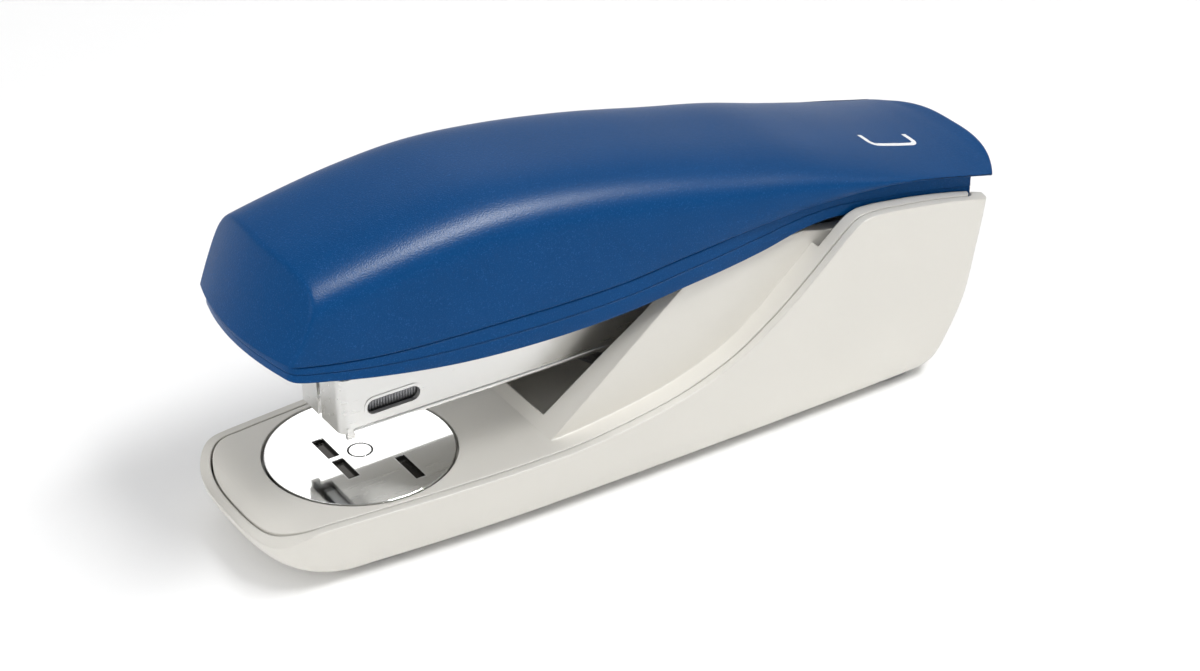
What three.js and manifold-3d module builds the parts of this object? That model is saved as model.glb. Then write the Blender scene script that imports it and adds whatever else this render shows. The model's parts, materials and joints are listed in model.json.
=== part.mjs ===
// Desk stapler with a top-loading magazine and a turning anvil.
// Millimetres. +X runs from the nose to the hinge end, +Y across, +Z up from the table.
// The origin is the centre of the footprint, on the table.

import * as THREE from "three";
import { mergeVertices } from "three/addons/utils/BufferGeometryUtils.js";
import Module from "manifold-3d";

const wasm = await Module();
wasm.setup();

// ---------------------------------------------------------------- driving dimensions

const GAP = 0.3; // running gap between pieces that touch
const HALF_LENGTH = 72.6; // the nose lip and the tail of the cover are this far from the origin
const DECK_Z = 11.8; // top of the base tray, level with the anvil disc
const FLOOR_Z = 1.65; // underside of the base shell
const PIVOT = { x: 61.0, z: 24.2, r: 1.5 }; // main hinge pin
const PIN_HOLE = PIVOT.r + GAP;
const LOBE_R = 3.7; // round ends of every plate that turns on the pin

const ANVIL = { x: -48.0, r: 15.9, t: 1.3 };
const STAPLE = { half: 6.4, wire: 0.5, leg: 6.3, strip: 50 }; // 24/6 staples, glued in a strip
const NOSE_X = -54.8; // outer face of the magazine nose
const MAG = { half: 7.5, wall: 0.75, low: 20.9, side: 31.0 };
const MAG_FLOOR_TOP = MAG.low + MAG.wall;
const STRIP_LOW = MAG_FLOOR_TOP + GAP;
const STRIP_TOP = STRIP_LOW + STAPLE.leg;
const BLADE = { front: NOSE_X + 1.7, t: 0.5, half: 6.3, low: STRIP_TOP + 0.4 };
const STRIP_FRONT = BLADE.front + BLADE.t + 0.4;
const STRIP_BACK = STRIP_FRONT + STAPLE.strip;

const SKIN = 1.5; // wall of the outer base shell
const TRAY_INSET = SKIN + GAP; // the tray stands this far inside the outer surface
const TRAY_WALL = 0.95;
const UNDER = { r: 5.0, tuck: 2.2 }; // rounding under the sides of the base, and how far it tucks in
const LIP = { height: 6.9, under: 12 }; // the nose of the base curves back under the lip
const PLAN = { nose: 8, tail: 4 }; // lengths of the rounded plan corners
const CHEEK_OUT = 15.2; // outer face of the raised cheeks
const INCLINE = { x: -20.2, slope: 0.797 }; // slanted front of the cheeks, from the deck up
const CHEEK_TOP = 35.6;
const CHEEK_FRONT_CLEAR = -24; // behind this the skirt's wall is thin, to pass outside the cheeks
const COVER_WALL = 2.0;
const SHOULDER = { width: 4.4, height: 5.4 }; // rounding between the cover's top and sides
const FACET = { x: -67.0, z: 42.3, lean: 0.446, bulge: 2.4, half: 15.5 }; // slanted nose of the cover

const BUTTON = { r: 5.9, flange: 6.9, top: 4.2 };
const FOOT = { x: 51.5, front: 12.0, rear: 14.2, half: 4.6, depth: 2.9, top: 2.25 };
const SCREWS = [
  [-61.0, 7.0],
  [34.0, 7.5],
];
const CHASSIS = { half: 11.2, z0: 3.9, z1: 5.1, front: -63.5, rear: 55.5, ear: 1.2 };

// ---------------------------------------------------------------- curves

// A smooth curve z(x) through a few points: cubic Hermite pieces with finite-difference slopes.
function through(points) {
  const slope = points.map((p, i) => {
    const a = points[Math.max(i - 1, 0)];
    const b = points[Math.min(i + 1, points.length - 1)];
    return (b[1] - a[1]) / (b[0] - a[0]);
  });
  return (x) => {
    const last = points.length - 1;
    if (x <= points[0][0]) return points[0][1];
    if (x >= points[last][0]) return points[last][1];
    let i = 0;
    while (x > points[i + 1][0]) i += 1;
    const [x0, y0] = points[i];
    const [x1, y1] = points[i + 1];
    const h = x1 - x0;
    const t = (x - x0) / h;
    const s = 1 - t;
    return (
      y0 * (1 + 2 * t) * s * s + y1 * (3 - 2 * t) * t * t + h * s * t * (slope[i] * s - slope[i + 1] * t)
    );
  };
}

// Half-width of the base at the rim, and the rim line seen from the side.
const baseHalf = through([
  [-72, 17.0], [-55, 18.6], [-40, 19.8], [-25, 20.5], [10, 20.8], [45, 20.6], [71, 20.0],
]);
const rimZ = through([
  [-72.6, 8.3], [-71, 8.9], [-68.5, 10.8], [-66, 11.6], [-63, DECK_Z], [-22, DECK_Z], [-12, 12.4],
  [3.3, 14.9], [14.3, 18.8], [22.5, 23.9], [29.7, 29.5], [35.6, 34.6], [39, 37.2], [42, 37.9], [49, 37.2],
  [58, 35.7], [67, 33.6], [71, 32.2],
]);
// Rear face of the base seen from the side, as x(z).
const rearX = through([
  [1.65, 57.4], [3.3, 60.0], [6.8, 62.2], [10.9, 64.4], [15.8, 66.5], [24, 68.3], [32.3, 69.9], [38, 70.5],
]);

// Cover: crown line, half-width, seam to the skirt, and the skirt's lower edge.
const crownZ = through([
  [-66, 55.2], [-55, 57.4], [-37, 60.4], [-29, 60.7], [-14, 59.5], [2, 56.8], [18, 53.1],
  [44, 45.2], [57, 41.2], [72.6, 39.4],
]);
const crownDrop = through([[-66, 2.6], [-30, 2.1], [30, 1.9], [57, 2.3], [72.6, 2.0]]);
const coverHalf = through([[-72, 16.0], [-62, 16.8], [-45, 17.5], [-20, 18.0], [40, 18.1], [72.6, 17.9]]);
const seamZ = through([
  [-72, 43.4], [-60, 41.0], [-48, 39.6], [-28, 39.0], [-8, 38.9], [5, 40.0], [20, 41.2], [32, 41.6],
  [48, 40.7], [58, 39.0], [72.6, 35.5],
]);
const skirtLowZ = through([
  [-72, 40.0], [-66, 39.0], [-52, 35.9], [-37, 33.6], [-21, 32.6], [-6.6, 32.8], [5.5, 33.9], [22, 35.4],
  [31, 36.9],
  [38, 37.0], [48, 34.6], [58, 32.9], [65, 31.9], [72, 30.4],
]);
const skirtHalf = through([
  [-72, 15.4], [-62, 16.0], [-45, 16.7], [-25, 17.1], [10, 17.1], [31, 16.1], [72, 16.1],
]);
const COLLAR = { rise: 3.2, back: -22 }; // rib of the skirt that locates it inside the front of the cover
const cheekOuter = through([[-30, CHEEK_OUT], [18, CHEEK_OUT], [28, 14.6], [70, 14.6]]);
const cheekInner = through([[-20, 9.6], [-8, 10.8], [3, 12.0], [45, 12.0], [52, 12.8], [70, 12.8]]);

const span = (a, b, n) => Array.from({ length: n + 1 }, (_, i) => a + ((b - a) * i) / n);

// ---------------------------------------------------------------- solids

function solid(geometry) {
  const g = geometry.clone();
  g.deleteAttribute("normal");
  g.deleteAttribute("uv");
  const merged = mergeVertices(g, 1e-4);
  const mesh = new wasm.Mesh({
    numProp: 3,
    vertProperties: new Float32Array(merged.attributes.position.array),
    triVerts: new Uint32Array(merged.index.array),
  });
  return new wasm.Manifold(mesh);
}

function join(...parts) {
  return parts.reduce((a, b) => a.add(b));
}

function cut(body, ...tools) {
  return tools.reduce((a, b) => a.subtract(b), body);
}

// Box between two corners.
function box(x0, x1, y0, y1, z0, z1) {
  const g = new THREE.BoxGeometry(x1 - x0, y1 - y0, z1 - z0);
  g.translate((x0 + x1) / 2, (y0 + y1) / 2, (z0 + z1) / 2);
  return solid(g);
}

function cylinderZ(x, y, r, z0, z1, sides = 16) {
  const g = new THREE.CylinderGeometry(r, r, z1 - z0, sides);
  g.rotateX(Math.PI / 2);
  g.translate(x, y, (z0 + z1) / 2);
  return solid(g);
}

function cylinderY(x, z, r, y0, y1, sides = 16) {
  const g = new THREE.CylinderGeometry(r, r, y1 - y0, sides);
  g.translate(x, (y0 + y1) / 2, z);
  return solid(g);
}

function cylinderX(y, z, r, x0, x1, sides = 12) {
  const g = new THREE.CylinderGeometry(r, r, x1 - x0, sides);
  g.rotateZ(Math.PI / 2);
  g.translate((x0 + x1) / 2, y, z);
  return solid(g);
}

// Outline in the XZ plane, extruded across Y from y0 to y1.
function plateXZ(shape, y0, y1, curveSegments = 7) {
  const g = new THREE.ExtrudeGeometry(shape, { depth: y1 - y0, bevelEnabled: false, curveSegments });
  g.rotateX(Math.PI / 2);
  g.translate(0, y1, 0);
  return solid(g);
}

// Outline in the XY plane, extruded up Z from z0 to z1.
function plateXY(shape, z0, z1) {
  const g = new THREE.ExtrudeGeometry(shape, { depth: z1 - z0, bevelEnabled: false, curveSegments: 7 });
  g.translate(0, 0, z0);
  return solid(g);
}

function outline(points) {
  return new THREE.Shape(points.map(([x, y]) => new THREE.Vector2(x, y)));
}

// Everything under the line z(x), as a block across the whole width.
function under(line, x0, x1, floor = -5, steps = 32) {
  const top = span(x0, x1, steps).map((x) => [x, line(x)]);
  return plateXZ(outline([[x0, floor], ...top, [x1, floor]]), -30, 30);
}

// Plan region |y| < half(x) between two stations, as a block.
function planStrip(half, x0, x1, z0, z1, steps = 16) {
  const xs = span(x0, x1, steps);
  const far = xs.map((x) => [x, half(x)]);
  const near = xs.map((x) => [x, -half(x)]).reverse();
  return plateXY(outline([...far, ...near]), z0, z1);
}

// A closed skin over rings of points that all have the same count, capped by fans.
function loft(rings) {
  const n = rings[0].length;
  const positions = rings.flat().flatMap((p) => [p.x, p.y, p.z]);
  const index = [];
  for (let r = 0; r + 1 < rings.length; r += 1) {
    for (let i = 0; i < n; i += 1) {
      const j = (i + 1) % n;
      const a = r * n;
      const b = a + n;
      index.push(a + i, a + j, b + j, a + i, b + j, b + i);
    }
  }
  const cap = (ring, start, flip) => {
    const centre = ring.reduce((s, p) => s.add(p), new THREE.Vector3()).divideScalar(n);
    const c = positions.length / 3;
    positions.push(centre.x, centre.y, centre.z);
    for (let i = 0; i < n; i += 1) {
      const j = (i + 1) % n;
      if (flip) index.push(c, start + j, start + i);
      else index.push(c, start + i, start + j);
    }
  };
  cap(rings[0], 0, true);
  cap(rings[rings.length - 1], (rings.length - 1) * n, false);
  const g = new THREE.BufferGeometry();
  g.setAttribute("position", new THREE.Float32BufferAttribute(positions, 3));
  g.setIndex(index);
  const made = solid(g);
  if (made.volume() >= 0) return made;
  g.setIndex(index.map((_, i) => index[i - (i % 3) + 2 - (i % 3)]));
  return solid(g);
}

// A round wire along a curve.
function wire(curve, radius, steps, sides = 6) {
  const section = outline(
    span(0, 1, sides)
      .slice(0, sides)
      .map((t) => [radius * Math.cos(2 * Math.PI * t), radius * Math.sin(2 * Math.PI * t)]),
  );
  return solid(new THREE.ExtrudeGeometry(section, { steps, extrudePath: curve, bevelEnabled: false }));
}

class Helix extends THREE.Curve {
  constructor(centre, axis, radius, length, turns) {
    super();
    Object.assign(this, { centre, axis, radius, length, turns });
  }

  getPoint(t) {
    const a = 2 * Math.PI * this.turns * t;
    const u = this.radius * Math.cos(a);
    const v = this.radius * Math.sin(a);
    const w = this.length * t;
    const p = this.axis === "x" ? new THREE.Vector3(w, u, v) : new THREE.Vector3(u, v, w);
    return p.add(this.centre);
  }
}

// ---------------------------------------------------------------- the assembly and its materials

const stapler = new THREE.Group();

const finish = (color, roughness, metalness) => ({ color, roughness, metalness });
const BLUE = finish(0x123f7c, 0.38, 0.0);
const LIGHT = finish(0xdedbd4, 0.45, 0.0);
const NICKEL = finish(0xd9dad8, 0.28, 1.0);
const MIRROR = finish(0xcfd0d0, 0.08, 1.0);
const STEEL = finish(0x9a9c9f, 0.4, 1.0);
const SPRING = finish(0x7d8084, 0.35, 1.0);
const RUBBER = finish(0x8c8d8b, 0.85, 0.0);
const DARK_WIRE = finish(0x5d6064, 0.4, 1.0);

function add(name, body, look) {
  const made = body.getMesh();
  const g = new THREE.BufferGeometry();
  const stride = made.numProp;
  const xyz = new Float32Array((made.vertProperties.length / stride) * 3);
  for (let i = 0; i < xyz.length / 3; i += 1) {
    xyz.set(made.vertProperties.subarray(i * stride, i * stride + 3), i * 3);
  }
  g.setAttribute("position", new THREE.BufferAttribute(xyz, 3));
  g.setIndex(new THREE.BufferAttribute(new Uint32Array(made.triVerts), 1));
  g.computeVertexNormals();
  const mesh = new THREE.Mesh(g, new THREE.MeshStandardMaterial(look));
  mesh.name = name;
  stapler.add(mesh);
}

// ---------------------------------------------------------------- base

// One plan outline of the base: superellipse corners at the nose and the tail, bowed sides between.
function baseRing(z, inset) {
  const rise = Math.max(0, 1 - (z - FLOOR_Z) / UNDER.r);
  const tuck = UNDER.tuck * (1 - Math.sqrt(1 - rise * rise)) + inset;
  const lipRise = Math.max(0, 1 - (z - FLOOR_Z) / LIP.height);
  const front = -HALF_LENGTH + LIP.under * (1 - Math.sqrt(1 - lipRise * lipRise)) + inset;
  const rear = rearX(z) - 1.6 * inset;
  const half = (x) => baseHalf(x) - tuck - 0.04 * Math.max(0, DECK_Z - z);
  const noseEnd = front + PLAN.nose;
  const tailEnd = rear - PLAN.tail;
  const nose = span(0, Math.PI / 2, 6).slice(0, 6).map((t) => [
    noseEnd - PLAN.nose * Math.cos(t) ** (2 / 2.8),
    half(noseEnd) * Math.sin(t) ** (2 / 2.8),
  ]);
  const side = span(noseEnd, tailEnd, 7).map((x) => [x, half(x)]);
  const tail = span(0, Math.PI / 2, 4).slice(1).map((t) => [
    tailEnd + PLAN.tail * Math.sin(t) ** (2 / 3.4),
    half(tailEnd) * Math.cos(t) ** (2 / 3.4),
  ]);
  const far = [...nose, ...side, ...tail];
  const near = far.slice(1, -1).reverse().map(([x, y]) => [x, -y]);
  return [...far, ...near].map(([x, y]) => new THREE.Vector3(x, y, z));
}

// Heights of the plan outlines above the underside.
const baseLevels = [0, 0.3, 0.95, 1.75, 2.35, 2.55, 4.4, 6.9, 10.2, 15, 20, 28, 37];

function hull(inset, floor) {
  const levels = baseLevels.map((up) => FLOOR_Z + up).filter((z) => z > floor + 0.01);
  return loft([floor, ...levels].map((z) => baseRing(z, inset)));
}

function baseLowerShell() {
  const outer = hull(0, FLOOR_Z).intersect(under(rimZ, -80, 80));
  const hollow = hull(SKIN, 3.4);
  const feet = footPlaces().map(([x, y]) => footBlock(x, y, GAP, FLOOR_Z - 1, FOOT.top + GAP));
  const screws = screwPlaces().flatMap(([x, y]) => [
    cylinderZ(x, y, 1.6, 0, 5),
    cylinderZ(x, y, 2.9, 0, 2.65),
  ]);
  const rearWindow = box(60, 80, -16.8, 16.8, 26.5, 50);
  const button = cylinderZ(ANVIL.x, 0, BUTTON.r + 0.4, 0, 5);
  return cut(outer, hollow, rearWindow, button, ...feet, ...screws);
}

// Cheek walls, the sill in front of the cavity between them, and the cavity floor.
function tower() {
  const top = [
    [INCLINE.x, DECK_Z],
    [INCLINE.x + (CHEEK_TOP - DECK_Z) / INCLINE.slope, CHEEK_TOP],
    [31.5, CHEEK_TOP],
    [36, 34.3],
    [57, 31.2],
    [63.6, 29.6],
  ];
  const side = plateXZ(outline([[INCLINE.x, 6], ...top, [63.6, 6]]), -20, 20);
  const block = planStrip(cheekOuter, INCLINE.x - 1, 63.6, 5, 40);
  const cheeks = block.intersect(side).intersect(hull(TRAY_INSET, 4.2));
  const cavity = planStrip(cheekInner, INCLINE.x + 2.0, 70, 7.4, 50);
  const earSpace = box(42.5, 70, -11.9, 11.9, 0, 20);
  return cut(cheeks, cavity, earSpace);
}

function baseUpperShell() {
  const block = hull(TRAY_INSET, 4.2).intersect(under(rimZ, -80, 80));
  const below = hull(TRAY_INSET + TRAY_WALL, 4.0).intersect(under((x) => rimZ(x) - 1.8, -80, 80));
  const rim = cut(block, below, planStrip((x) => cheekOuter(x) - 0.4, INCLINE.x + 0.5, 80, 3, 60));
  const slot = cut(box(33.5, 80, -16.45, 16.45, 29.4, 60), box(20, 90, -14.1, 14.1, 0, 70));
  const rearOpening = box(63.7, 80, -16.45, 16.45, 26.2, 60);
  const tray = join(cut(rim, slot, rearOpening), tower());
  const seat = join(
    cylinderZ(ANVIL.x, 0, ANVIL.r - 2, 8.4, 10.6, 48),
    cylinderZ(ANVIL.x, 0, 6.4, 6.9, 9),
  );
  const bosses = screwPlaces().map(([x, y]) => cylinderZ(x, y, 2.9, 5.4, x < 0 ? 10.6 : 7));
  const bores = screwPlaces().map(([x, y]) => cylinderZ(x, y, 1.5, 3, x < 0 ? 9.9 : 9));
  const recess = cylinderZ(ANVIL.x, 0, ANVIL.r + 0.35, DECK_Z - ANVIL.t - GAP, 20, 64);
  const post = cylinderZ(ANVIL.x, 0, 3.6, 0, 20);
  return cut(join(tray, seat, ...bosses), recess, post, ...bores);
}

function screwPlaces() {
  return SCREWS.flatMap(([x, y]) => [[x, -y], [x, y]]);
}

function footPlaces() {
  return [
    [-FOOT.x, -FOOT.front],
    [-FOOT.x, FOOT.front],
    [FOOT.x, -FOOT.rear],
    [FOOT.x, FOOT.rear],
  ];
}

// A foot is a stadium, long in X.
function footBlock(x, y, grow, z0, z1) {
  const r = FOOT.depth + grow;
  const run = FOOT.half - FOOT.depth;
  const shape = new THREE.Shape();
  shape.absarc(x + run, y, r, -Math.PI / 2, Math.PI / 2, false);
  shape.absarc(x - run, y, r, Math.PI / 2, Math.PI * 1.5, false);
  return plateXY(shape, z0, z1);
}

function screw(x, y, z0, headR, headH, shankR, z1) {
  const slot = box(x - headR, x + headR, y - 0.4, y + 0.4, z0 - 1, z0 + 0.3);
  return cut(join(cylinderZ(x, y, headR, z0, z0 + headH, 20), cylinderZ(x, y, shankR, z0, z1, 12)), slot);
}

// Steel floor plate with two ears that carry the main pin.
function chassis() {
  const plate = box(CHASSIS.front, CHASSIS.rear, -CHASSIS.half, CHASSIS.half, CHASSIS.z0, CHASSIS.z1);
  const earShape = new THREE.Shape();
  earShape.moveTo(CHASSIS.rear - 12, CHASSIS.z0);
  earShape.lineTo(CHASSIS.rear, CHASSIS.z0);
  earShape.lineTo(PIVOT.x + LOBE_R, PIVOT.z - 4);
  earShape.absarc(PIVOT.x, PIVOT.z, LOBE_R, 0, Math.PI, false);
  earShape.lineTo(CHASSIS.rear - 12, CHASSIS.z0 + 5);
  const out = CHASSIS.half;
  const ears = [
    plateXZ(earShape, -out, -out + CHASSIS.ear),
    plateXZ(earShape, out - CHASSIS.ear, out),
  ];
  const holes = screwPlaces().map(([x, y]) => cylinderZ(x, y, 1.7, 0, 10));
  return cut(
    join(plate, ...ears),
    cylinderY(PIVOT.x, PIVOT.z, PIN_HOLE, -20, 20),
    cylinderZ(ANVIL.x, 0, BUTTON.flange + 0.5, 0, 10, 24),
    ...holes,
  );
}

function pivotPin() {
  const grooves = [-1, 1].map((s) =>
    cut(cylinderY(PIVOT.x, PIVOT.z, 3, s * 11.75 - 0.45, s * 11.75 + 0.45),
      cylinderY(PIVOT.x, PIVOT.z, 1.0, -20, 20)),
  );
  return cut(cylinderY(PIVOT.x, PIVOT.z, PIVOT.r, -12.4, 12.4), ...grooves);
}

// Circlip in the groove at one end of the pin.
function pinClip(side) {
  const y = side * 11.75;
  const ring = cylinderY(PIVOT.x, PIVOT.z, 2.7, y - 0.2, y + 0.2);
  return cut(
    ring,
    cylinderY(PIVOT.x, PIVOT.z, 1.25, y - 1, y + 1),
    box(PIVOT.x - 0.9, PIVOT.x + 0.9, y - 1, y + 1, PIVOT.z - 5, PIVOT.z),
  );
}

// Leaf spring that holds the magazine up: a foot on the cavity floor, a ramp and a curled tip.
function magazineLeafSpring() {
  const spine = [[26, 7.9], [14, 7.9], [9, 8.4], [-1, 12.8], [-9, 18.6], [-11.5, 19.5], [-13.5, 18.9]];
  const t = 0.5;
  const upper = spine.map(([x, z]) => [x, z + t]).reverse();
  return plateXZ(outline([...spine, ...upper]), -3.4, 3.4);
}

// ---------------------------------------------------------------- anvil

// Two shallow wells side by side make one forming slot: a dumbbell with a land in the middle.
function formingSlot(x, halfWidth, y0, y1, depth) {
  const well = (a, b) => box(x - halfWidth, x + halfWidth, a, b, DECK_Z - depth, DECK_Z + 1);
  return join(well(y0, y1), well(-y1, -y0));
}

function anvilDisc() {
  const disc = cylinderZ(ANVIL.x, 0, ANVIL.r, DECK_Z - ANVIL.t, DECK_Z, 64);
  const clinch = formingSlot(ANVIL.x - 4.6, 1.05, 0.5, 6.6, 0.7);
  const pin = formingSlot(ANVIL.x + 4.5, 0.9, 5.2, 12.6, 0.7);
  return cut(disc, clinch, pin, cylinderZ(ANVIL.x, 0, 2.2, 0, 20));
}

// Riveted post: its head fills the disc's centre hole, its shank runs down through the tray.
function anvilPost() {
  return join(
    cylinderZ(ANVIL.x, 0, 1.9, DECK_Z - ANVIL.t - 0.5, DECK_Z),
    cylinderZ(ANVIL.x, 0, 3.2, 5.7, DECK_Z - ANVIL.t - GAP),
    cylinderZ(ANVIL.x, 0, 4.1, 5.7, 6.3, 24),
  );
}

// The button's flange is wider than the hole in the shell, so the button can't fall out.
function anvilButton() {
  return join(
    cylinderZ(ANVIL.x, 0, BUTTON.r, 0.9, BUTTON.top, 32),
    cylinderZ(ANVIL.x, 0, BUTTON.flange, BUTTON.top - 0.5, BUTTON.top, 32),
  );
}

function anvilSpring() {
  const curve = new Helix(new THREE.Vector3(ANVIL.x, 0, BUTTON.top + 0.6), "z", 4.9, 1.5, 1.8);
  return wire(curve, 0.25, 22, 5);
}

// ---------------------------------------------------------------- magazine

function magazineChannel() {
  const side = new THREE.Shape();
  side.moveTo(NOSE_X, MAG.low + 0.05);
  side.lineTo(-2.4, MAG.low - 0.6);
  side.lineTo(PIVOT.x - 4, MAG.low - 0.6);
  side.absarc(PIVOT.x, PIVOT.z, LOBE_R, -Math.PI / 2, Math.PI / 2, false);
  side.lineTo(50, 29);
  side.lineTo(40, MAG.side);
  side.lineTo(NOSE_X, MAG.side);
  const outer = plateXZ(side, -MAG.half, MAG.half);
  const inner = MAG.half - MAG.wall;
  const hollow = box(NOSE_X + 0.8, 80, -inner, inner, MAG_FLOOR_TOP, 60);
  const exit = box(NOSE_X + 0.8, NOSE_X + 4.4, -inner, inner, 10, MAG_FLOOR_TOP + 1);
  const noseGap = box(NOSE_X - 1, NOSE_X + 1.5, -0.6, 0.6, 10, 60);
  const tailFloor = box(PIVOT.x - 6, 80, -inner, inner, 10, MAG_FLOOR_TOP + 1);
  const windowShape = new THREE.Shape();
  windowShape.absarc(-48.7, 24.65, 1.35, Math.PI / 2, Math.PI * 1.5, false);
  windowShape.absarc(-41.6, 24.65, 1.35, -Math.PI / 2, Math.PI / 2, false);
  const tabs = [-1, 1].map((s) =>
    box(-53.8, -52.4, Math.min(s * MAG.half, s * inner), Math.max(s * MAG.half, s * inner), 19.9, 22),
  );
  return cut(
    join(outer, ...tabs),
    hollow,
    exit,
    noseGap,
    tailFloor,
    plateXZ(windowShape, -20, 20),
    cylinderY(PIVOT.x, PIVOT.z, PIN_HOLE, -20, 20),
  );
}

const RAIL = {
  half: STAPLE.half - STAPLE.wire - GAP,
  wall: 0.8,
  top: STRIP_TOP - STAPLE.wire - GAP,
  back: 45,
};

// Inverted channel that the staples sit astride, slotted along the top for the pusher.
function stapleRail() {
  const outer = box(STRIP_FRONT, RAIL.back, -RAIL.half, RAIL.half, STRIP_LOW, RAIL.top);
  const inner = RAIL.half - RAIL.wall;
  const hollow = box(STRIP_FRONT + 3, RAIL.back + 1, -inner, inner, STRIP_LOW - 1, RAIL.top - RAIL.wall);
  const slot = box(STRIP_BACK - 6, RAIL.back - 2.5, -1.3, 1.3, STRIP_LOW, RAIL.top + 1);
  return cut(outer, hollow, slot);
}

function stapleStrip() {
  const outer = box(STRIP_FRONT, STRIP_BACK, -STAPLE.half, STAPLE.half, STRIP_LOW, STRIP_TOP);
  const inner = STAPLE.half - STAPLE.wire;
  const hollow = box(STRIP_FRONT - 1, STRIP_BACK + 1, -inner, inner, STRIP_LOW - 1, STRIP_TOP - STAPLE.wire);
  return cut(outer, hollow);
}

const ROD_Z = 24.6;
const PUSHER = { front: STRIP_BACK + GAP, length: 9, travel: 33 };

// Saddle over the rail with a tongue through its slot to a collar on the guide rod.
function pusher() {
  const x0 = PUSHER.front;
  const x1 = x0 + PUSHER.length;
  const inner = STAPLE.half - STAPLE.wire;
  const saddle = cut(
    box(x0, x1, -STAPLE.half, STAPLE.half, STRIP_LOW, STRIP_TOP),
    box(x0 - 1, x1 + 1, -inner, inner, STRIP_LOW - 1, RAIL.top + GAP),
  );
  const tongue = box(x0 + 1, x1 - 1, -0.95, 0.95, ROD_Z, STRIP_TOP - 0.1);
  const collar = cylinderX(0, ROD_Z, 1.95, x0 + 1, x1 - 1, 20);
  return cut(join(saddle, tongue, collar), cylinderX(0, ROD_Z, 1.1, x0, x1 + 1, 16));
}

function pusherRod() {
  return cylinderX(0, ROD_Z, 0.8, STRIP_FRONT + 3.4, RAIL.back + 2.4, 12);
}

function pusherSpring() {
  const x0 = PUSHER.front + PUSHER.length + 0.2;
  const length = RAIL.back - 0.6 - x0;
  return wire(new Helix(new THREE.Vector3(x0, 0, ROD_Z), "x", 1.75, length, 11), 0.28, 11 * 8, 4);
}

// Block behind the rail: end stop of the guide rod and seat of the return spring.
function magazineEndBlock() {
  const inner = MAG.half - MAG.wall - GAP;
  const block = box(RAIL.back + GAP, 52.5, -inner, inner, STRIP_LOW, 28.4);
  const bore = cylinderX(0, ROD_Z, 1.1, RAIL.back - 1, RAIL.back + 3, 16);
  return cut(block, bore, cylinderZ(49, 0, 3.3, 27.6, 40));
}

// ---------------------------------------------------------------- press lever

// Sprung saddle on the main pin. The handle rests on it, and it brings the handle back up.
function pressLever() {
  const shape = new THREE.Shape();
  shape.moveTo(44.5, 32.4);
  shape.lineTo(44.5, 33.6);
  shape.lineTo(56, 33.2);
  shape.absarc(PIVOT.x, PIVOT.z, LOBE_R, Math.PI * 0.45, -Math.PI * 0.75, true);
  shape.lineTo(53.8, 32.0);
  const saddle = plateXZ(shape, -5.4, 5.4);
  const lugSpace = box(53.6, 80, -4.3, 4.3, 0, 60);
  const plate = box(44.5, 55.2, -4.6, 4.6, 32.2, 33.2);
  return join(cut(saddle, lugSpace, cylinderY(PIVOT.x, PIVOT.z, PIN_HOLE, -20, 20)), plate);
}

function returnSpring() {
  return wire(new Helix(new THREE.Vector3(49, 0, 28.0), "z", 2.6, 3.8, 3), 0.3, 27, 5);
}

// ---------------------------------------------------------------- handle

const halfProfile = (half, crown, drop, seam, floor) => {
  const ys = half - SHOULDER.width;
  const high = Math.max(crown - drop, seam + 0.6);
  const fall = Math.min(SHOULDER.height, 0.75 * (high - seam));
  const points = span(0, 1, 3).map((t) => [ys * t, crown - drop * t * t]);
  for (const a of span(0, Math.PI / 2, 3).slice(1)) {
    points.push([ys + SHOULDER.width * Math.sin(a), high - fall * (1 - Math.cos(a))]);
  }
  points.push([half - 0.25, (high - fall + seam) / 2]);
  points.push([half - 0.7, seam]);
  if (floor < seam) points.push([half - 0.7, floor]);
  return points;
};

// The cover's solid shape, shrunk by inset, with its bottom on the seam or on a lower floor.
function coverBody(inset, floor) {
  const stations = span(-74, HALF_LENGTH - inset, 20);
  return loft(
    stations.map((x) => {
      const seam = seamZ(x);
      const low = floor ?? seam;
      const half = halfProfile(coverHalf(x) - inset, crownZ(x) - inset, crownDrop(x), seam, low);
      if (floor === undefined) half.push([half[half.length - 1][0] - 0.01, seam]);
      const mirrored = half.slice(1).reverse().map(([y, z]) => [-y, z]);
      return [...half, ...mirrored].map(([y, z]) => new THREE.Vector3(x, y, z));
    }),
  );
}

// Everything in front of the slanted, slightly bulging nose facet: a plan curve sheared forwards.
function noseCutter(back) {
  const edge = span(-22, 22, 14).map((y) => [-FACET.bulge * (1 - (y / FACET.half) ** 2) + back, y]);
  const region = outline([[-60, -22], ...edge, [-60, 22]]);
  const g = new THREE.ExtrudeGeometry(region, { depth: 60, bevelEnabled: false });
  const shear = new THREE.Matrix4().set(
    1, 0, FACET.lean, FACET.x - FACET.lean * 10,
    0, 1, 0, 0,
    0, 0, 1, FACET.z - 10,
    0, 0, 0, 1,
  );
  g.applyMatrix4(shear);
  return solid(g);
}

const HANDLE_SCREWS = [-41, 36];
const bridgeZ = (x) => (x < 0 ? 46.4 : 41.6); // top of the skirt's cross bridges

function handleCover() {
  const shell = cut(
    cut(coverBody(0), noseCutter(0)),
    cut(coverBody(COVER_WALL, 20), noseCutter(COVER_WALL + 0.3)),
  );
  const bosses = HANDLE_SCREWS.map((x) => cylinderZ(x, 0, 3, bridgeZ(x) + GAP, crownZ(x) - 1));
  const bores = HANDLE_SCREWS.map((x) => cylinderZ(x, 0, 1.5, 30, bridgeZ(x) + 6));
  return cut(join(shell, ...bosses), ...bores);
}

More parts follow.
